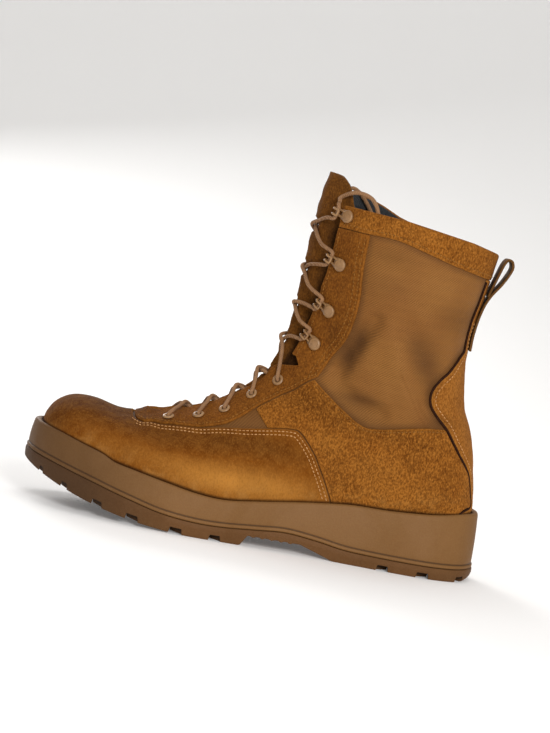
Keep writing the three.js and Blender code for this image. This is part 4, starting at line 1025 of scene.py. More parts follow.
def moulded(name, mid, dark, deep, pale, grain, roughness, dust_amount):
    def base(t):
        broad = t.ramp(t.noise(18, 4, 0.6, 0.5), 0.32, 0.68)
        fine = t.ramp(t.noise(900, 2, 0.6), 0.3, 0.7)
        shade = t.blend(t.math("MULTIPLY", broad, 0.30), colour(mid), colour(dark))
        shade = t.blend(t.math("MULTIPLY", fine, 0.16), shade, colour(pale))
        stain = t.ramp(t.noise(60, 5, 0.7, 1.0), 0.6, 0.78, 0.0, 0.35)
        shade = t.blend(stain, shade, colour(dark))
        dust = use(t, DUST, Low=t.attribute("sole"), Reach=9.0, Amount=dust_amount)
        shade = t.blend(dust["Mask"], shade, colour(pale))
        # Painted shade in the deep colour: darker towards the toe, and in grooves and recesses.
        tone_and_shade = t.attribute("tone_and_shade")
        shade = t.blend(t.math("MULTIPLY", tone_and_shade, -1.0, clamp=True), shade, colour(deep))
        shade = t.blend(t.attribute("groove_shade"), shade, colour(deep))
        rough = t.ramp(broad, 0.0, 1.0, roughness - 0.06, roughness + 0.06)
        return shade, rough, t.bump(t.math("MULTIPLY_ADD", t.noise(420, 3, 0.6), 0.5, fine), grain, 0.00025)

    return finish_material(name, base, roughness, viewport=mid, Specular_IOR_Level=0.35)


def lining():
    def base(t):
        loops = t.ramp(t.noise(900, 3, 0.6), 0.3, 0.7)
        shade = t.blend(loops, colour("#17191c"), colour("#2e2f30"))
        lint = t.ramp(t.noise(320, 4, 0.7), 0.66, 0.8, 0.0, 0.5)
        return t.blend(lint, shade, colour("#4c4a45")), None, t.bump(loops, 0.6, 0.0005)

    return finish_material("lining_knit", base, 0.95, viewport="#353331", Sheen_Weight=0.15)


def enamel():
    def base(t):
        worn = t.ramp(t.noise(380, 4, 0.65), 0.52, 0.7, 0.0, 0.5)
        shade = t.blend(t.ramp(t.noise(90, 3), 0.3, 0.7), colour("#84603a"), colour("#967046"))
        shade = t.blend(worn, shade, colour("#654628"))
        return shade, t.ramp(worn, 0.0, 0.5, 0.42, 0.6), t.bump(t.noise(700, 2), 0.15, 0.0002)

    return finish_material("enamelled_metal", base, 0.48, viewport="#b08c67", Coat_Weight=0.12, Coat_Roughness=0.3)


def braid(name, mid, dark, light):
    def base(t):
        weave = use(t, TWILL, Pitch=0.0011, Slant=0.7)
        shade = t.blend(t.math("MULTIPLY", weave["Rib"], 0.6), colour(dark), colour(light))
        shade = t.blend(t.ramp(t.noise(160, 3, 0.6), 0.35, 0.7, 0.0, 0.6), shade, colour(mid))
        return shade, None, t.bump(weave["Height"], 0.8, 0.0004)

    return finish_material(name, base, 0.85, viewport=mid, Specular_IOR_Level=0.15)


def thread(name, mid, dark):
    def base(t):
        return (t.blend(t.ramp(t.noise(1300, 2), 0.35, 0.65), colour(dark), colour(mid)), None,
                t.bump(t.noise(2400, 2), 0.4, 0.0002))

    return finish_material(name, base, 0.8, viewport=mid, Specular_IOR_Level=0.1)


SUEDE_VAMP = suede("suede_vamp", "#6f3c07", "#3c1d02", "#ad7430", "#b28448", grain=0.28, bump=0.3)
SUEDE_SIDE = suede("suede_side", "#7f4a14", "#462303", "#aa6e2a", "#a87c40", grain=1.0)
SUEDE_STAY = suede("suede_stay", "#703f10", "#3e1f04", "#986022", "#a0743a", grain=0.75)
# The tongue's suede is darker, partly painted shade of the tongue lying deep in the throat.
SUEDE_TONGUE = suede("suede_tongue", "#683d12", "#301804", "#86561f", "#8c6636", grain=0.6)
SUEDE_BACK = suede("suede_back", "#8a531c", "#502b0a", "#b27632", "#a87c40", grain=0.75)
NYLON = nylon()
MIDSOLE_FOAM = moulded("midsole_foam", "#744e22", "#5f3d18", "#301b06", "#846236", 0.22, 0.7, 0.15)
OUTSOLE_RUBBER = moulded("outsole_rubber", "#5f3b13", "#462a0a", "#120902", "#765430", 0.35, 0.75, 0.22)
LINING = lining()
ENAMEL = enamel()
LACE_BRAID = braid("lace_braid", "#a07752", "#6c4a2e", "#bd9470")
WEBBING = braid("strap_webbing", "#6c4520", "#452a10", "#85602f")
THREAD_PALE = thread("thread_pale", "#cb9c6a", "#a1703c")
THREAD_BROWN = thread("thread_brown", "#94642c", "#6a4318")
PIPING = thread("edge_piping", "#34190a", "#200f05")
THREADS = {"pale": THREAD_PALE, "brown": THREAD_BROWN}


# Leather panels.

def side_field(side):
    return side * BASE[:, 1] - 0.15


SCALLOP = {side: np.zeros(len(BASE)) for side in (-1, 1)}
for side in (-1, 1):
    for seated in EYELET_SEATS[side]:
        SCALLOP[side] += 2.4 * np.exp(-((S - seated["s"]) / 0.62) ** 2)

# How far a place is inside the back strip, 27 mm wide above the counter.
back_strip = np.minimum(np.where(np.abs(W) > 0.5, 13.5 - np.abs(BASE[:, 1]), -50), BASE[:, 2] - 132)
BACKSTAY_D = np.maximum(side_polygon(POLYGONS["backstay"]), back_strip)
BACKSTAY_D = np.minimum(BACKSTAY_D, 200.8 - BASE[:, 2])
INSIDE = np.minimum(np.minimum(THROAT_D, COLLAR_D), RIM_D + 3.5)
VAMP_D = np.minimum(side_polygon(POLYGONS["vamp"]), INSIDE)
rows, faces = make_panel("vamp", VAMP_D, SUEDE_VAMP, ["vamp"], thick=1.65, radius=0.9,
                         extra={"wing": side_line(TOP_LINE)})
for inset, front in ((2.0, -209), (4.4, -207)):
    sew("vamp", rows, faces, rows[:, EXTRA], inset, lambda c: (c[:, ABOVE_RIM] > 1.5) & (c[:, X] > front), "pale",
        height=GAP + 1.6)

for side in (-1, 1):
    name = SIDE_NAME[side]
    stay_throat = THROAT_D + np.clip(SCALLOP[side], 0, 2.4)
    field = np.minimum.reduce([side_polygon(POLYGONS["eyestay"]), np.minimum(stay_throat, COLLAR_D), STEP_D,
                               HOLES_D, side_field(side)])
    hump = 2.2 * np.exp(-((BASE[:, 0] + 200) / 7) ** 2) + 0.35 * SCALLOP[side]
    hump = hump * np.exp(-(np.maximum(stay_throat, 0) / 7) ** 2)
    rows, faces = make_panel(f"eyestay_{name}", field, SUEDE_STAY, [f"eyestay_{name}"], raised=hump, extra={
        "back": side_line(FACING_BACK_LINE), "low": side_line(FACING_LOW_LINE),
        "front": np.minimum(stay_throat, STEP_D)})
    # Which edge a row of stitches follows, how far in, and the part of the stay that it is on.
    for edge, inset, part in ((0, 2.2, lambda c: c[:, Z] < 214), (0, 5.6, lambda c: c[:, Z] < 214),
                              (1, 1.9, lambda c: c[:, X] > -206), (2, 2.0, lambda c: c[:, Z] > 128)):
        sew(f"stay_{name}", rows, faces, rows[:, EXTRA + edge], inset,
            lambda c: (c[:, FIELD] > 1.3) & part(c), "brown")

    field = np.minimum.reduce([side_polygon(POLYGONS["quarter"]), INSIDE, side_field(side), -BACKSTAY_D - 1.75])
    rows, faces = make_panel(f"quarter_{name}", field, SUEDE_SIDE, [f"quarter_{name}"], thick=1.4, extra={
        "top": side_line(QUARTER_TOP_LINE)})
    sew(f"quarter_{name}", rows, faces, rows[:, EXTRA], 2.0, lambda c: c[:, FIELD] > 1.2, "brown",
        height=GAP + 1.4)

rows, faces = make_panel("backstay", np.minimum(BACKSTAY_D, INSIDE), SUEDE_BACK, ["backstay"],
                         extra={"front": BACKSTAY_D})
sew("backstay", rows, faces, rows[:, EXTRA], 3.0,
    lambda c: (c[:, FIELD] > 1.3) & (c[:, ABOVE_RIM] > 1.5) & (c[:, Z] < 172), "pale", radius=0.28)
cuff_above = BASE[:, 2] - np.interp(BASE[:, 0], CUFF_LINE[:, 0], CUFF_LINE[:, 1])
band_rows = np.hstack([BASE, NORMAL, LIFT[:, None], COLLAR_D[:, None], THROAT_D[:, None]])
band_faces = fine_grid.faces[(np.abs(cuff_above[fine_grid.faces] - 2.8) < 4).any(1)]
sew("collar", band_rows, band_faces, cuff_above, 2.8,
    lambda c: (c[:, BELOW_COLLAR] > 3) & (c[:, OFF_THROAT] > 3) & (c[:, Z] > 190), "brown")


# The edge piping of the back strip.

piping = []
for chain in iso_chains(band_rows, fine_grid.faces, BACKSTAY_D, -0.72):
    keep = (chain[:, Z] > sole_height(2, chain[:, X]) - 2.5) & (chain[:, Z] < 199.5) & (chain[:, Z] > 30)
    for run in np.split(np.arange(len(chain)), np.flatnonzero(np.diff(keep.astype(int))) + 1):
        if len(run) > 12 and keep[run].all():
            path = chain[run, AT] + unit(chain[run, OUT]) * (chain[run, RAISED] + 1.0)[:, None]
            for _ in range(3):
                path[1:-1] = (path[:-2] + 2 * path[1:-1] + path[2:]) / 4
            piping.append(tube(through(path[::3], 1.2), 0.78, 8))
put("back_piping", *joined(piping), PIPING, slot="suede")


# The nylon shell with its knitted lining.

shell_grid = Surface(2.1)
SB, SN = shell_grid.flat(shell_grid.base), shell_grid.flat(shell_grid.normal)
shell_lift = shell_grid.flat(shell_grid.lift)[:, 0]
shell_throat = throat_field(shell_grid.s.ravel(), shell_grid.w.ravel(), SB)
step_d, gx, gz = polygon_distance(SB[:, 0], SB[:, 2], np.array(FACING_STEP, float))
shell_holes = hole_field(SB, EYELET_SEATS[-1] + EYELET_SEATS[1], EYELET["hole"] + 0.2)
shell_d = np.minimum.reduce([shell_throat - 0.8, collar_field(SB) - 2.2, rim_field(SB) + 4.5, -step_d - 0.6,
                             shell_holes])
seam_d = nylon_distance(SB)
rows = np.hstack([SB, SN, shell_lift[:, None], seam_puff(seam_d)[:, None], shell_d[:, None], seam_d[:, None]])
faces = shell_grid.faces[(shell_d[shell_grid.faces] > 0).any(1)]
rows, faces = trim(rows, faces)[:2]
rows, faces = split(rows, faces, FIELD, 0.0)
faces = faces[rows[faces, FIELD].mean(1) > 0]
rows, faces = trim(rows, faces)[:2]
base, normal = rows[:, AT], unit(rows[:, OUT])
outer = base + normal * (rows[:, RAISED] + rows[:, PUFF])[:, None]
inner = base + normal * (rows[:, RAISED] - WALL)[:, None]
shell_faces = sheet_faces(faces, len(rows))
put("shell", np.vstack([outer, inner]), shell_faces, [NYLON, LINING], ["upper"], slot="textile",
    face_material=np.arange(len(shell_faces)) >= len(faces),
    attributes={"tone_and_shade": twice(tone_and_shade_of(base)), "seam": twice(rows[:, EXTRA]),
                "edge": np.full(2 * len(rows), 5.0), "sole": np.full(2 * len(rows), FAR_FROM_SOLE)})


# The collar band, folded over the top edge.

# The band's outer face, up from its lower edge, and its underside, back down to it.
BAND_UP = (0.0, 0.12, 0.4, 0.8, 1.6, 3, 4.5, 6, 7.5, 9, 10.5, 12)
BAND_DOWN = (12, 8, 4, 1.2, 0.1)
# The fold over the collar's edge: height above the edge, lift off the upper.
FOLD = [
    (-1.6, 1.8), (-0.9, 1.72), (-0.25, 1.42), (0.22, 0.92), (0.42, 0.3), (0.42, -0.6), (0.3, -1.35), (-0.1, -2.0),
    (-0.7, -2.45), (-1.6, -2.72), (-3.4, -2.78), (-5.2, -2.78), (-7.2, -2.76), (-8.2, -2.7), (-8.3, -2.45),
    (-8.2, -2.15), (-5, -2.08), (-2.6, -2.08), (-1.9, -1.9), (-1.75, -1), (-1.9, 0), (-2.6, 0.1),
]
FOLD_MIDDLE = -0.5
BAND_STEPS = 441


def band_column(value):
    """From the lateral throat edge (-1) round the back (0) to the medial one (1): a line of places up the
    shaft, with the lengths along it of the band's lower edge and of the collar."""
    side = -1 if value < 0 else 1
    s = np.linspace(22.5, 27.9, 500)
    w_throat = across_at(s, side * gape_at(s, side))
    w = w_throat + (side - w_throat) * (1 - abs(value))
    p = last_point(s, w)
    collar = np.array(COLLAR[side], float)
    arc = np.r_[0, np.cumsum(np.linalg.norm(np.diff(p, axis=0), axis=1))]
    low, top = (np.interp(0, p[:, 2] - np.interp(p[:, 0], line[:, 0], line[:, 1]), arc)
                for line in (CUFF_LINE, collar))
    return s, w, arc, low, top


def band_profile(value, low, top):
    """One loop round the band's leather: length up the shaft, lift, distance from an edge."""
    thin = float(rounded((1 - abs(value)) * 130, 1.0))
    room = top - low - 3
    profile = [(low + d, GAP + SUEDE * float(rounded(d, 0.8)) * thin, d) for d in BAND_UP if d < room]
    profile += [(top + a, FOLD_MIDDLE + (lift - FOLD_MIDDLE) * (0.25 + 0.75 * thin), max(-a, 0) + 5)
                for a, lift in FOLD]
    return np.array(profile + [(low + d, 0.1, d) for d in BAND_DOWN if d < room])


def collar_band():
    steps = np.linspace(-1, 1, BAND_STEPS)
    columns = [band_column(value) for value in steps]
    profiles = [band_profile(value, *column[3:]) for value, column in zip(steps, columns)]
    count = max(len(profile) for profile in profiles)
    points, edges, tones_and_shade = [], [], []
    for profile, (s_line, w_line, arc, _, _) in zip(profiles, columns):
        if len(profile) < count:
            k = np.linspace(0, len(profile) - 1, count)
            profile = np.stack([np.interp(k, np.arange(len(profile)), profile[:, c]) for c in range(3)], 1)
        s = np.interp(profile[:, 0], arc, s_line)
        w = np.interp(profile[:, 0], arc, w_line)
        base = last_point(s, w)
        points.append(base + last_normal(s, w) * (crease_height(base) + profile[:, 1])[:, None])
        edges.append(profile[:, 2])
        tones_and_shade.append(tone_and_shade_of(base))
    faces = between_rings(BAND_STEPS, count) + [fan(0, count), fan((BAND_STEPS - 1) * count, count)[:, ::-1]]
    k = np.arange(count)
    lined = (k > count * 0.5) & (k < count * 0.9)
    inside = np.r_[np.tile(lined, 2 * (BAND_STEPS - 1)), np.zeros(2 * (count - 2), bool)]
    return np.vstack(points), np.vstack(faces), np.concatenate(edges), np.concatenate(tones_and_shade), inside


band_points, band_faces, band_edge, band_tone_and_shade, band_inside = collar_band()
put("collar_band", band_points, band_faces, [SUEDE_SIDE, LINING], ["cuff_lateral", "cuff_medial"],
    face_material=band_inside,
    attributes={"edge": band_edge, "tone_and_shade": band_tone_and_shade, "sole": np.full(len(band_points), FAR_FROM_SOLE)})


# Pull strap.

def pull_strap():
    path = smooth_line(LOOP, 8)
    run = unit(np.gradient(path, axis=0))
    left = np.stack([-run[:, 1], run[:, 0]], 1)
    half, thick = STRAP["half"], STRAP["thick"]
    y = np.linspace(-1, 1, 25) * half
    round_off = 0.55 * (1 - rounded(half - np.abs(y), 0.9))
    across, depth = np.r_[y, y[::-1]], np.r_[round_off, (thick - round_off)[::-1]]
    bend = -0.9 * (across / half) ** 2
    points = [np.c_[px + lx * depth + bend, across, pz + lz * depth] for (px, pz), (lx, lz) in zip(path, left)]
    size = len(across)
    caps = [fan(0, size), fan((len(path) - 1) * size, size)[:, ::-1]]
    faces = np.vstack(between_rings(len(path), size) + caps)
    put("pull_strap", np.vstack(points), faces, WEBBING, ["pull_loop"], slot="webbing")


pull_strap()


# Midsole.

def outline_curve(per=24):
    """The closed plan outline of the sole: points and outward directions, heel, lateral side, toe, medial."""
    lateral = np.stack([SOLE_OUTLINE[:, 0], -SOLE_OUTLINE[:, 1]], 1)
    medial = np.stack([SOLE_OUTLINE[1:-1, 0], SOLE_OUTLINE[1:-1, 2]], 1)[::-1]
    pts = np.vstack([lateral, medial])
    n = len(pts)
    out, tangents = [], []
    for i in range(n):
        p0, p1, p2, p3 = pts[i - 1], pts[i], pts[(i + 1) % n], pts[(i + 2) % n]
        d0, d1, d2 = (math.sqrt(np.linalg.norm(b - a)) for a, b in ((p0, p1), (p1, p2), (p2, p3)))
        t1 = ((p1 - p0) / d0 - (p2 - p0) / (d0 + d1) + (p2 - p1) / d1) * d1
        t2 = ((p2 - p1) / d1 - (p3 - p1) / (d1 + d2) + (p3 - p2) / d2) * d1
        for k in range(per):
            f = k / per
            c2, c3 = -3 * p1 + 3 * p2 - 2 * t1 - t2, 2 * p1 - 2 * p2 + t1 + t2
            out.append(p1 + f * (t1 + f * (c2 + f * c3)))
            tangents.append(t1 + f * (2 * c2 + f * 3 * c3))
    out, tangents = np.array(out), np.array(tangents)
    tangents /= np.linalg.norm(tangents, axis=1, keepdims=True)
    return out, np.stack([-tangents[:, 1], tangents[:, 0]], 1)


def even(points, directions, count):
    """count points and directions, evenly spaced round the closed outline."""
    closed = np.vstack([points, points[:1]])
    arc = np.r_[0, np.cumsum(np.linalg.norm(np.diff(closed, axis=0), axis=1))]
    at = np.linspace(0, arc[-1], count + 1)[:-1]
    d = np.vstack([directions, directions[:1]])
    p = np.stack([np.interp(at, arc, closed[:, k]) for k in range(2)], 1)
    v = np.stack([np.interp(at, arc, d[:, k]) for k in range(2)], 1)
    return p, v / np.linalg.norm(v, axis=1, keepdims=True)


OUTLINE_FINE, OUTWARD_FINE = outline_curve()
if OUTWARD_FINE[0, 0] < 0:
    OUTWARD_FINE = -OUTWARD_FINE
OUTLINE, OUTWARD = even(OUTLINE_FINE, OUTWARD_FINE, 620)


def foot_line(drop, lift):
    """The plan line where the last, grown by lift, is at height rim - drop: a closed polygon."""
    s = np.linspace(0.05, 17, 420)
    w = np.linspace(0, 1, 500)
    sides = []
    for side in (-1, 1):
        p = lifted(s[:, None], side * w[None], np.full((len(s), len(w)), lift))
        f = p[..., 2] - (sole_height(2, p[..., 0]) - drop)
        below = f < 0
        has = below.any(1) & ~below[:, 0]
        first = below.argmax(1)
        line = []
        for i in np.flatnonzero(has):
            j = first[i]
            u = f[i, j - 1] / (f[i, j - 1] - f[i, j])
            line.append(p[i, j - 1, :2] * (1 - u) + p[i, j, :2] * u)
        sides.append(np.array(line))
    return np.vstack([sides[0], sides[1][::-1]])


def inset_to(line):
    """How far in from the sole outline a closed plan line lies, at each outline point."""
    a, b = line, np.roll(line, -1, axis=0)
    d = b - a
    result = np.full(len(OUTLINE), np.nan)
    for i, (o, v) in enumerate(zip(OUTLINE, -OUTWARD)):
        den = v[0] * d[:, 1] - v[1] * d[:, 0]
        den = np.where(np.abs(den) < 1e-12, 1e-12, den)
        w = a - o
        e = (w[:, 0] * d[:, 1] - w[:, 1] * d[:, 0]) / den
        u = (w[:, 0] * v[1] - w[:, 1] * v[0]) / den
        hit = (u >= 0) & (u <= 1) & (e > 0) & (e < 60)
        if hit.any():
            result[i] = e[hit].min()
    bad = np.isnan(result)
    k = np.arange(len(result))
    result[bad] = np.interp(k[bad], k[~bad], result[~bad], period=len(result))
    kernel = np.ones(9) / 9
    return np.convolve(np.r_[result[-4:], result, result[:4]], kernel, mode="valid")


def stack(levels):
    """A closed solid from rings of outline points: each level is (outward offset, height) arrays."""
    n = len(OUTLINE)
    rings = [np.c_[OUTLINE + OUTWARD * np.broadcast_to(out, n)[:, None], np.broadcast_to(height, n)]
             for out, height in levels]
    faces = between_rings(len(rings), n)
    half = n // 2
    for start, flip in ((0, True), ((len(rings) - 1) * n, False)):
        cap = []
        for i in range(half):
            a, b = start + i, start + i + 1
            c, d = start + (n - i) % n, start + n - i - 1
            cap += [(a, b, d)] if i == 0 else [(a, b, c)] if i == half - 1 else [(a, b, c), (b, d, c)]
        cap = np.array(cap)
        faces.append(cap[:, ::-1] if flip else cap)
    return np.vstack(rings), np.vstack(faces)


# The rib above the outsole: outward offset, height above the seam, and painted shade in its groove.
RIB = [
    (-0.75, 0.15, 0.5), (-0.35, 0.35, 0.2), (-0.05, 0.75, 0), (0, 1.2, 0), (0, 1.9, 0), (-0.12, 2.3, 0),
    (-0.5, 2.6, 0.3), (-0.95, 2.8, 0.7), (-1.05, 3.1, 0.8), (-0.9, 3.45, 0.4), (-0.8, 3.9, 0),
]
# The rounded outer edge of the rim: outward offset, distance below the rim.
LIP = [(-2.42, 1.9), (-2.62, 1.3), (-2.95, 0.7), (-3.4, 0.3), (-3.9, 0.08)]
FOOT_ROOM = 2.45


def midsole():
    x = OUTLINE[:, 0]
    seam, rim, bed = (sole_height(c, x) for c in (3, 2, 1))
    wall = rim - seam
    inner = [inset_to(foot_line(drop, FOOT_ROOM)) for drop in (0.3, 2.0, 3.8)]
    edge_in = np.maximum(inner[0], 4.3)
    levels, groove_shades = [], []

    def level(out, height, groove_shade=0.0):
        levels.append((np.broadcast_to(out, x.shape), np.broadcast_to(height, x.shape)))
        groove_shades.append(np.full(len(x), groove_shade))

    for out, height, groove_shade in RIB:
        level(out, seam + height, groove_shade)
    low_out, high_out = -0.8, -2.4
    for f in np.linspace(0.06, 0.97, 14):
        swell = 0.35 * math.sin(math.pi * f)
        level(low_out + (high_out - low_out) * f + swell, seam + 4.2 + (wall - 4.2 - 2.2) * f)
    for out, drop in LIP:
        level(out, rim - drop)
    level(-np.maximum(edge_in - 0.9, 4.0), rim - 0.06)
    # The inner lip and the tray below it, with painted shade given as the last number.
    level(-np.maximum(edge_in - 0.3, 4.15), rim - 0.25, 0.35)
    level(-edge_in, rim - 0.7, 0.7)
    level(-np.maximum(inner[1], edge_in + 0.1), rim - 2.0, 0.9)
    level(-np.maximum(inner[2], edge_in + 0.3), rim - 3.8, 0.9)
    level(-np.maximum(inner[2], edge_in + 0.3), np.minimum(bed - GAP, rim - 4.2), 0.9)
    points, faces = stack(levels)
    above = np.concatenate([np.broadcast_to(np.maximum(h - seam, 0), x.shape) for _, h in levels])
    put("midsole", points, faces, MIDSOLE_FOAM, ["midsole"], slot="midsole", attributes={
        # Height above the seam for dust; painted shade in the rib's groove, round the inner lip and darker towards the
        # toe.
        "sole": above + 1.5, "groove_shade": np.concatenate(groove_shades),
        "tone_and_shade": -0.4 * np.clip((-170 - points[:, 0]) / 60, 0, 1)})


midsole()


# Outsole.

TREAD_DEPTH = 3.8
GROOVES = [
    (-262, 2.4, 5, -4), (-244, 4, 5, -5), (-220, 6.5, 5, -7), (-195.6, 8, 5, -8.5), (-166, 8, 5, -8.5),
    (-140, 7, 5, -7.5), (-28, 7, 5, 7.5), (-1, 7.6, 5, 8), (24.4, 4.6, 4, -5),
]
CHANNEL = {"width": 4, "side": 14}
CHANNEL_RUNS = [(-257, -128, 3), (-53, 20, 1)]


def tread_height(x):
    arc = 345 - np.sqrt(np.maximum(345 ** 2 - (x + 147) ** 2, 0))
    line = np.interp(x, [-147, -123, -119, -84, -61, 25, 34], [0, 0, 7.3, 7.3, 0, 0, 4.5])
    return np.where(x < -147, arc, line)


def sole_half(x, column):
    return np.interp(x, SOLE_OUTLINE[::-1, 0], SOLE_OUTLINE[::-1, column])


def groove_field(x, y):
    """Signed distance into the nearest groove of the tread, seen from below."""
    best = np.full(x.shape, -1e3)
    for gx, width, straight, lead in GROOVES:
        w, run = width / 2, abs(lead) * 0.9
        left, right = -(sole_half(gx, 1) - straight), sole_half(gx, 2) - straight
        middle = (left + right) / 2
        line = [(gx, -90), (gx, left), (gx + lead, left + run), (gx + 1.25 * lead, middle),
                (gx + lead, right - run), (gx, right), (gx, 90)]
        shape = [(px - w, py) for px, py in line] + [(px + w, py) for px, py in line[::-1]]
        best = np.maximum(best, polygon_distance(x, y, shape)[0])
    for start, stop, middle in CHANNEL_RUNS:
        for offset in (-CHANNEL["side"], CHANNEL["side"]):
            a, b = middle + offset - CHANNEL["width"] / 2, middle + offset + CHANNEL["width"] / 2
            best = np.maximum(best, polygon_distance(x, y, [(start, a), (stop, a), (stop, b), (start, b)])[0])
    return best


# The outsole's side wall: outward offset and distance below the seam, then shares of its height.
WALL_TOP = [(-0.9, 0.05), (-0.3, 0.12), (0.15, 0.4), (0.38, 1.0)]
WALL_SHARES = (1.0, 0.88, 0.75, 0.62, 0.5, 0.38, 0.25, 0.12, 0)


def outsole():
    n = len(OUTLINE)
    toe = int(OUTLINE[:, 0].argmin())
    heel = int(OUTLINE[:, 0].argmax())
    order = np.roll(np.arange(n), -heel)
    cut = int(np.flatnonzero(order == toe)[0])
    one, two = order[:cut + 1], np.r_[order[cut:], order[:1]][::-1]
    lateral, medial = (one, two) if OUTLINE[one, 1].mean() < OUTLINE[two, 1].mean() else (two, one)
    rows_x = OUTLINE[lateral, 0]
    rank = np.interp(-rows_x, -OUTLINE[medial, 0], np.arange(len(medial)))

    def opposite(values):
        """The medial values at the lengths of the lateral ones."""
        return np.stack([np.interp(rank, np.arange(len(medial)), values[medial, k]) for k in range(2)], 1)

    sides = [(OUTLINE[lateral], OUTWARD[lateral]), (opposite(OUTLINE), opposite(OUTWARD))]
    walls = []
    for place, outward in sides:
        x = place[:, 0]
        seam = sole_height(3, x)
        low = tread_height(x)
        column = []
        for out, drop in WALL_TOP:
            column.append(np.c_[place + outward * out, seam - drop])
        for share in WALL_SHARES:
            z = low + (seam - 1.6 - low) * share
            out = np.where(z < seam - 3, -2.4 + 2.8 * (z + 4) / np.maximum(seam + 1, 1), 0.4)
            if share == 0:
                out = out - 0.25
            column.append(np.c_[place + outward * out[:, None], z])
        walls.append(np.stack(column, 1))
    left, right = walls[0], walls[1][:, ::-1]
    across = np.linspace(0, 1, 74)[1:-1]
    a, b = left[:, -1], right[:, 0]
    bottom = a[:, None] * (1 - across[None, :, None]) + b[:, None] * across[None, :, None]
    bottom[..., 2] = tread_height(bottom[..., 0])
    grid = np.concatenate([left, bottom, right], axis=1)
    rows_n, cols_n = grid.shape[:2]
    i, j = np.meshgrid(np.arange(rows_n - 1), np.arange(cols_n), indexing="ij")
    a = (i * cols_n + j).ravel()
    b = (i * cols_n + (j + 1) % cols_n).ravel()
    faces = np.vstack([np.c_[a, b, b + cols_n], np.c_[a, b + cols_n, a + cols_n]])
    points = grid.reshape(-1, 3)
    rows = np.c_[points, groove_field(points[:, 0], points[:, 1])]
    for level in (-0.5, 0.3):
        rows, faces = split(rows, faces, 3, level)
    x, z, g = rows[:, 0], rows[:, 2], rows[:, 3]
    tread = tread_height(x)
    arch = (x > -117) & (x < -86) & (z < tread + 0.6)
    rib = np.where(arch, 0.8 * np.clip(np.sin((x + 117) * 2 * np.pi / 6.2), 0, 1) ** 0.7, 0)
    floor = tread + TREAD_DEPTH * np.clip((g + 0.5) / 0.8, 0, 1)
    seam = sole_height(3, x)
    carved = np.where(g > -0.5, np.maximum(z, np.minimum(floor, seam - 2.2)), z) - rib
    depth = np.clip((carved - z) / TREAD_DEPTH, 0, 1)
    points, faces, depth = weld(np.c_[rows[:, :2], carved], faces, depth)
    put("outsole", points, faces, OUTSOLE_RUBBER, ["outsole"], slot="outsole", attributes={
        # Painted shade in the tread grooves, stronger where they are deeper, and darker towards the toe.
        "sole": np.maximum(points[:, 2], 0) * 0.6, "groove_shade": np.minimum(1.15 * depth, 1),
        "tone_and_shade": -0.45 * np.clip((-170 - points[:, 0]) / 60, 0, 1)}, smooth=False)


outsole()


# Eyelets and speed hooks.

def eyelet_ring():
    hole, rim, thick = EYELET["hole"], EYELET["rim"], EYELET["thick"]
    profile = [(hole - 0.25, -2.6), (hole, -2.6), (hole, -0.4), (hole + 0.4, -0.1), (rim - 0.2, -0.1), (rim, 0.05),
               (rim - 0.15, 0.4), (rim - 0.7, 0.8), (rim - 1.2, thick), (hole + 0.35, thick - 0.12), (hole, 0.6),
               (hole - 0.25, 0.2), (hole - 0.25, -2.6)]
    return lathe(profile, 28)


def hook_parts():
    """A rivet head and a plate that narrows to two prongs, curled over to hold the lace."""
    metal, throat, bend, rivet, dome = (HOOK[k] for k in ("metal", "throat", "bend", "rivet", "dome"))
    head = lathe([(0, metal - 0.25), (rivet, metal - 0.25), (rivet, metal + 0.35), (rivet - 0.35, metal + 0.75),
                  (rivet - 1.1, metal + dome - 0.2), (2.9, metal + dome - 0.05), (2.6, metal + dome - 0.3),
                  (2.3, metal + dome - 0.05), (1.2, metal + dome), (0, metal + dome)], 30)
    parts = [head]
    turn = np.linspace(0.5 * np.pi, 1.5 * np.pi, 15)
    back = [(4.1 * math.cos(angle), 4.1 * math.sin(angle)) for angle in turn]
    outline = np.array(back + [(3.2, -3.6), (5.4, -2.9), (5.4, 2.9), (3.2, 3.6)])
    m = len(outline)
    low, high = 0.05, metal - 0.1
    plate = np.vstack([np.c_[outline, np.full(m, low)], np.c_[outline, np.full(m, high)],
                       [[0, 0, low], [0, 0, high]]])
    k = np.arange(m)
    j = (k + 1) % m
    faces = np.vstack([np.c_[k, j, j + m], np.c_[k, j + m, k + m], np.c_[j, k, np.full(m, 2 * m)],
                       np.c_[k + m, j + m, np.full(m, 2 * m + 1)]])
    parts.append((plate, outward_faces(plate, faces)))
    centre = metal + throat / 2
    for y in (-1.9, 1.9):
        radius = throat / 2 + 0.55
        path = [(3.8, y, 0.75), (6.4, y, 0.72)]
        path += [(bend + radius * math.sin(v), y, centre - radius * math.cos(v))
                 for v in np.linspace(0.15, np.pi, 8)]
        path += [(bend - 1.6, y, centre + radius - 0.05), (bend - 3.0, y, centre + radius - 0.25)]
        parts.append(tube(through(path, 0.55), np.full(1, 0.72), 10))
    top = centre + throat / 2
    bar = [(bend - 2.6, -1.9, top + 0.4), (bend - 2.9, 0, top + 0.42), (bend - 2.6, 1.9, top + 0.4)]
    parts.append(tube(through(bar, 0.5), np.full(1, 0.62), 8))
    return joined(parts)


ring_points, ring_faces = eyelet_ring()
hook_points, hook_faces = hook_parts()
for side in (-1, 1):
    for i, seated in enumerate(EYELET_SEATS[side]):
        name = f"eyelet_{SIDE_NAME[side]}_{i + 1}"
        put(f"{name}_ring", placed(ring_points, seated), ring_faces, ENAMEL, [name], slot="hardware")
    for i, seated in enumerate(HOOK_SEATS[side]):
        name = f"hook_{SIDE_NAME[side]}_{i + 1}"
        put(f"{name}_speed", placed(hook_points, seated), hook_faces, ENAMEL, [name], slot="hardware")


# Laces.

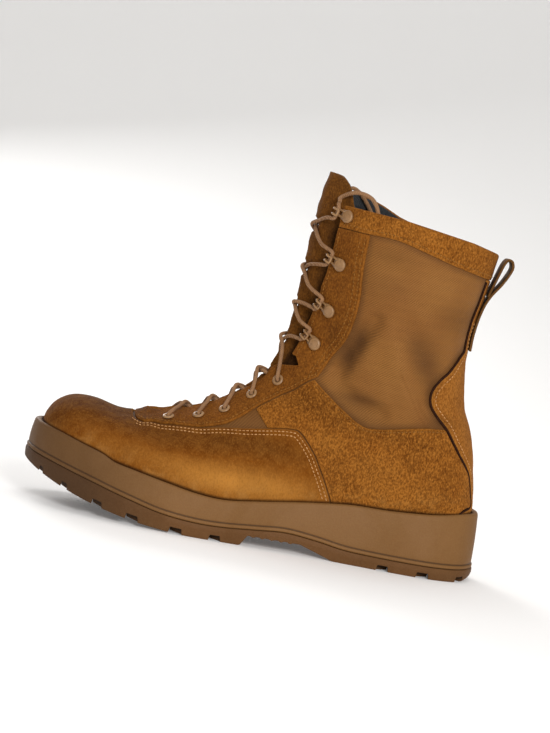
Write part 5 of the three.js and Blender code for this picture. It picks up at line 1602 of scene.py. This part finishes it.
def between(start, stop, share, lift):
    s = start["s"] + (stop["s"] - start["s"]) * share
    y = start["y"] + (stop["y"] - start["y"]) * share
    return lifted(s, across_at(np.array(s), np.array(y)), lift)


def off_seat(seated, ahead, up, lift):
    return seated["place"] + seated["front"] * ahead + seated["up"] * up + seated["out"] * lift


# How far the laces stand off the last between the eyelets, and between the hooks.
LOW_LIFT = 2.5
HOOK_LIFT = 2.2
STRAND = 1.3
crossings, runs = [], []
for level in range(4):
    strands = []
    for side in (-1, 1):
        start, stop = EYELET_SEATS[side][level], EYELET_SEATS[-side][level + 1]
        over = 1.45 if side < 0 else -1.35
        path = [off_seat(start, 0, 0, -2.4), off_seat(start, 0.05, 0, -0.6), off_seat(start, 0.5, 0.3, 1.3),
                *[between(start, stop, share, lift) for share, lift in (
                    (0.1, 4.2), (0.2, 4.3), (0.32, LOW_LIFT + 1.8), (0.5, LOW_LIFT + 1.2 + over),
                    (0.62, LOW_LIFT - 0.4), (0.71, -1.0), (0.79, -3.3), (0.88, -3.7), (0.96, -3.7))]]
        strands.append(through(path, 0.9))
    crossings.append(strands)

HOOK_WRAP = [(0.5, -5.0), (-0.6, -2.6), (-1.0, 0), (-0.6, 2.6), (0.5, 5.0)]
for side in (-1, 1):
    start, near = EYELET_SEATS[side][-1], side
    path = [off_seat(start, 0, 0, -2.4), off_seat(start, 0.05, 0, -0.6), off_seat(start, 0.6, 0.5, 1.5)]
    for i in range(4):
        near = -near
        hook = HOOK_SEATS[near][i]
        over = 1.4 if side < 0 else -1.4
        for share, lift in ((0.2, 5.2), (0.36, HOOK_LIFT + 1.0), (0.5, HOOK_LIFT + 1.3 + over),
                            (0.64, HOOK_LIFT + 1.0), (0.8, 5.2)):
            path.append(between(start, hook, share, lift))
        for ahead, up in HOOK_WRAP:
            path.append(off_seat(hook, HOOK["bend"] + ahead, up, HOOK["metal"] + HOOK["throat"] / 2))
        start = hook
    path.append(off_seat(hook, HOOK["bend"] + 0.7, 6.3, HOOK["metal"] + HOOK["throat"] / 2))
    runs.append(through(path, 1.1))
# What the tongue gives way under.
PRESSED = np.vstack([*[path for strands in crossings for path in strands], *runs])

for level, strands in enumerate(crossings):
    put(f"lace_crossing_{level + 1}_braid", *joined([tube(path, STRAND, 12) for path in strands]), LACE_BRAID,
        [f"lace_crossing_{level + 1}"], slot="lace")
put("lace_run_braid", *joined([tube(path, STRAND, 12) for path in runs]), LACE_BRAID, ["lace_run"], slot="lace")

# Side view x and z, and depth below the surface. The inner end crosses a collar that is higher there.
LACE_END = {
    -1: [(-100.5, 236.5, -1), (-91, 241, 0), (-80, 238, 5), (-74, 226, 5), (-71, 207, 5), (-70, 187, 5)],
    1: [(-99.5, 238.6, -2.8), (-96.5, 242.6, -2), (-92, 243.7, 1.6), (-85, 238.5, 5.4), (-76, 226, 5.2),
        (-71, 207, 5), (-70, 183.2, 5)],
}
for side in (-1, 1):
    hook = HOOK_SEATS[side][3]
    begin = off_seat(hook, HOOK["bend"] + 0.7, 5.2 + 6 * GAP, HOOK["metal"] + HOOK["throat"] / 2)
    path = through([begin] + [seat(side, x, z, -deep)["place"] for x, z, deep in LACE_END[side]], 1.5)
    name = f"lace_end_{SIDE_NAME[side]}"
    piece = put(f"{name}_braid", *tube(path, LACE_RADIUS, 12), LACE_BRAID, [name], slot="lace")


# Tongue.

TONGUE_THICK = 2.4


def tongue():
    rows_n, cols_n = 150, 44
    t = np.linspace(0, len(TONGUE) - 1, rows_n)
    table = along(TONGUE, t)
    share = np.linspace(-1, 1, cols_n + 1)
    s, half, free, bulge = (table[:, k, None] for k in range(4))
    free = np.minimum(free, np.minimum(gape_at(s, -1), gape_at(s, 1)) - 0.2)
    y = share[None] * half
    under_lift = -WALL - 8 * GAP
    rise = np.clip(1 - (y / free) ** 2, 0, 1) ** 1.2
    w = across_at(np.broadcast_to(s, y.shape), y)
    sb = np.broadcast_to(s, y.shape)
    base, normal = last_point(sb, w), last_normal(sb, w)
    ripple = 0.5 * wander(base, 26, 0.9) * rise
    lower = np.interp(s, [5, 8, 14, 19, 28], [0.3, 2.4, 2.0, 0.8, 0.2])
    lift = under_lift + (bulge - lower - under_lift) * rise + ripple
    # The padding gives way under the lace.
    for i in range(rows_n):
        reach = PRESSED[None] - base[i][:, None]
        height = np.einsum("ijk,ik->ij", reach, normal[i])
        aside = np.maximum((reach ** 2).sum(2) - height ** 2, 0)
        allowed = np.where((aside < 60) & (height > -5), height - 1.9 + aside / 7.0, 99).min(1)
        lift[i] = np.minimum(lift[i], np.maximum(allowed, lift[i] - 7.5))
    from_ends = np.minimum((len(TONGUE) - 1 - t) * 9, t * 14)[:, None]
    end = np.minimum((1 - np.abs(share))[None] * half, from_ends)
    round_off = 1.1 * (1 - rounded(end, 1.6))
    top = base + normal * (lift - round_off)[..., None]
    bottom = base + normal * (lift - TONGUE_THICK + round_off)[..., None]
    c = cols_n + 1
    i, j = np.meshgrid(np.arange(rows_n - 1), np.arange(cols_n), indexing="ij")
    a = (i * c + j).ravel()
    upper = np.vstack([np.c_[a, a + c, a + 1], np.c_[a + 1, a + c, a + c + 1]])
    n = rows_n * c
    faces = sheet_faces(upper, n)
    points = np.vstack([top.reshape(-1, 3), bottom.reshape(-1, 3)])
    # Painted shade: the tongue a little darker overall and darker towards its sides, where it sinks into the throat
    # beside the facings, with uneven colour on top.
    tone_and_shade = -0.1 - 0.3 * (1 - rise.ravel()) + 0.15 * wander(base, 40, 2.2).ravel()
    shadow = np.clip((1 - rise - 0.45) * 2.0, 0, 0.85) * np.clip((25.8 - s) / 1.2, 0, 1)
    piece = put("tongue", points, faces, [SUEDE_TONGUE, LINING], ["tongue"], slot="suede",
                face_material=np.arange(len(faces)) >= len(upper),
                attributes={"edge": twice(end.ravel()), "tone_and_shade": twice(tone_and_shade), "shadow": twice(shadow.ravel()),
                            "sole": np.full(2 * n, FAR_FROM_SOLE)})


tongue()


# Stitches, joined by panel and thread.

for (key, thread_name), made in STITCHES.items():
    if made:
        put(f"stitches_{key}_{thread_name}", *joined(made), THREADS[thread_name], slot="suede")


# Insole.

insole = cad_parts["insole"]
insole.data.materials.clear()
insole.data.materials.append(LINING)


# Floor, light and camera.

ROLL = math.radians(11)
ELEVATION = math.radians(4)
DISTANCE = 1.6
AIM = Vector((-0.1225, 0.0, 0.1165))
LENS = 117.0

scene = bpy.context.scene
scene.view_settings.view_transform = "Standard"


def backdrop():
    """A pale floor that curves up far behind the boot."""
    profile = [(-7.0, 0.0), (1.2, 0.0)]
    profile += [(1.2 + 1.6 * math.sin(v), 1.6 - 1.6 * math.cos(v)) for v in np.linspace(0.08, math.pi / 2, 20)]
    profile += [(2.8, 7.0)]
    points = [(x, y, z) for y, z in profile for x in (-9.0, 9.0)]
    faces = [(2 * i, 2 * i + 1, 2 * i + 3, 2 * i + 2) for i in range(len(profile) - 1)]
    mesh = bpy.data.meshes.new("studio_floor")
    mesh.from_pydata(points, [], faces)
    mesh.polygons.foreach_set("use_smooth", [True] * len(faces))
    floor = bpy.data.objects.new("studio_floor", mesh)
    scene.collection.objects.link(floor)
    material = bpy.data.materials.new("studio_floor")
    material.use_nodes = True
    shader = material.node_tree.nodes["Principled BSDF"]
    shader.inputs["Base Color"].default_value = colour("#f3f2f1")
    shader.inputs["Roughness"].default_value = 0.95
    shader.inputs["Emission Color"].default_value = colour("#ffffff")
    shader.inputs["Emission Strength"].default_value = 0.1
    mesh.materials.append(material)


backdrop()

world = bpy.data.worlds.new("studio")
scene.world = world
world.use_nodes = True
world.node_tree.nodes["Background"].inputs["Color"].default_value = colour("#f5f3f0")
world.node_tree.nodes["Background"].inputs["Strength"].default_value = 0.5


def soft_light(name, place, target, size, power):
    data = bpy.data.lights.new(name, "AREA")
    data.shape, data.size, data.energy = "DISK", size, power
    lamp = bpy.data.objects.new(name, data)
    scene.collection.objects.link(lamp)
    lamp.location = place
    lamp.rotation_euler = (Vector(target) - Vector(place)).to_track_quat("-Z", "Y").to_euler()
    lamp.visible_camera = False


soft_light("key", (0.35, -1.7, 0.75), (-0.12, 0, 0.1), 0.6, 24)
soft_light("far_side", (-0.9, 1.6, 0.9), (-0.12, 0, 0.1), 0.8, 16)
soft_light("overhead", (-0.2, 0.4, 1.9), (-0.12, 0.1, 0.0), 1.2, 8)

forward = Vector((0, math.cos(ELEVATION), -math.sin(ELEVATION)))
level_right = Vector((1, 0, 0))
level_up = level_right.cross(forward)
right = level_right * math.cos(ROLL) + level_up * math.sin(ROLL)
up = -level_right * math.sin(ROLL) + level_up * math.cos(ROLL)
camera_data = bpy.data.cameras.new("camera")
camera_data.lens = LENS
camera_data.sensor_width = 36
camera = bpy.data.objects.new("camera", camera_data)
scene.collection.objects.link(camera)
camera.matrix_world = Matrix.Translation(AIM - forward * DISTANCE) @ Matrix(
    ((right.x, up.x, -forward.x), (right.y, up.y, -forward.y), (right.z, up.z, -forward.z))).to_4x4()
scene.camera = camera
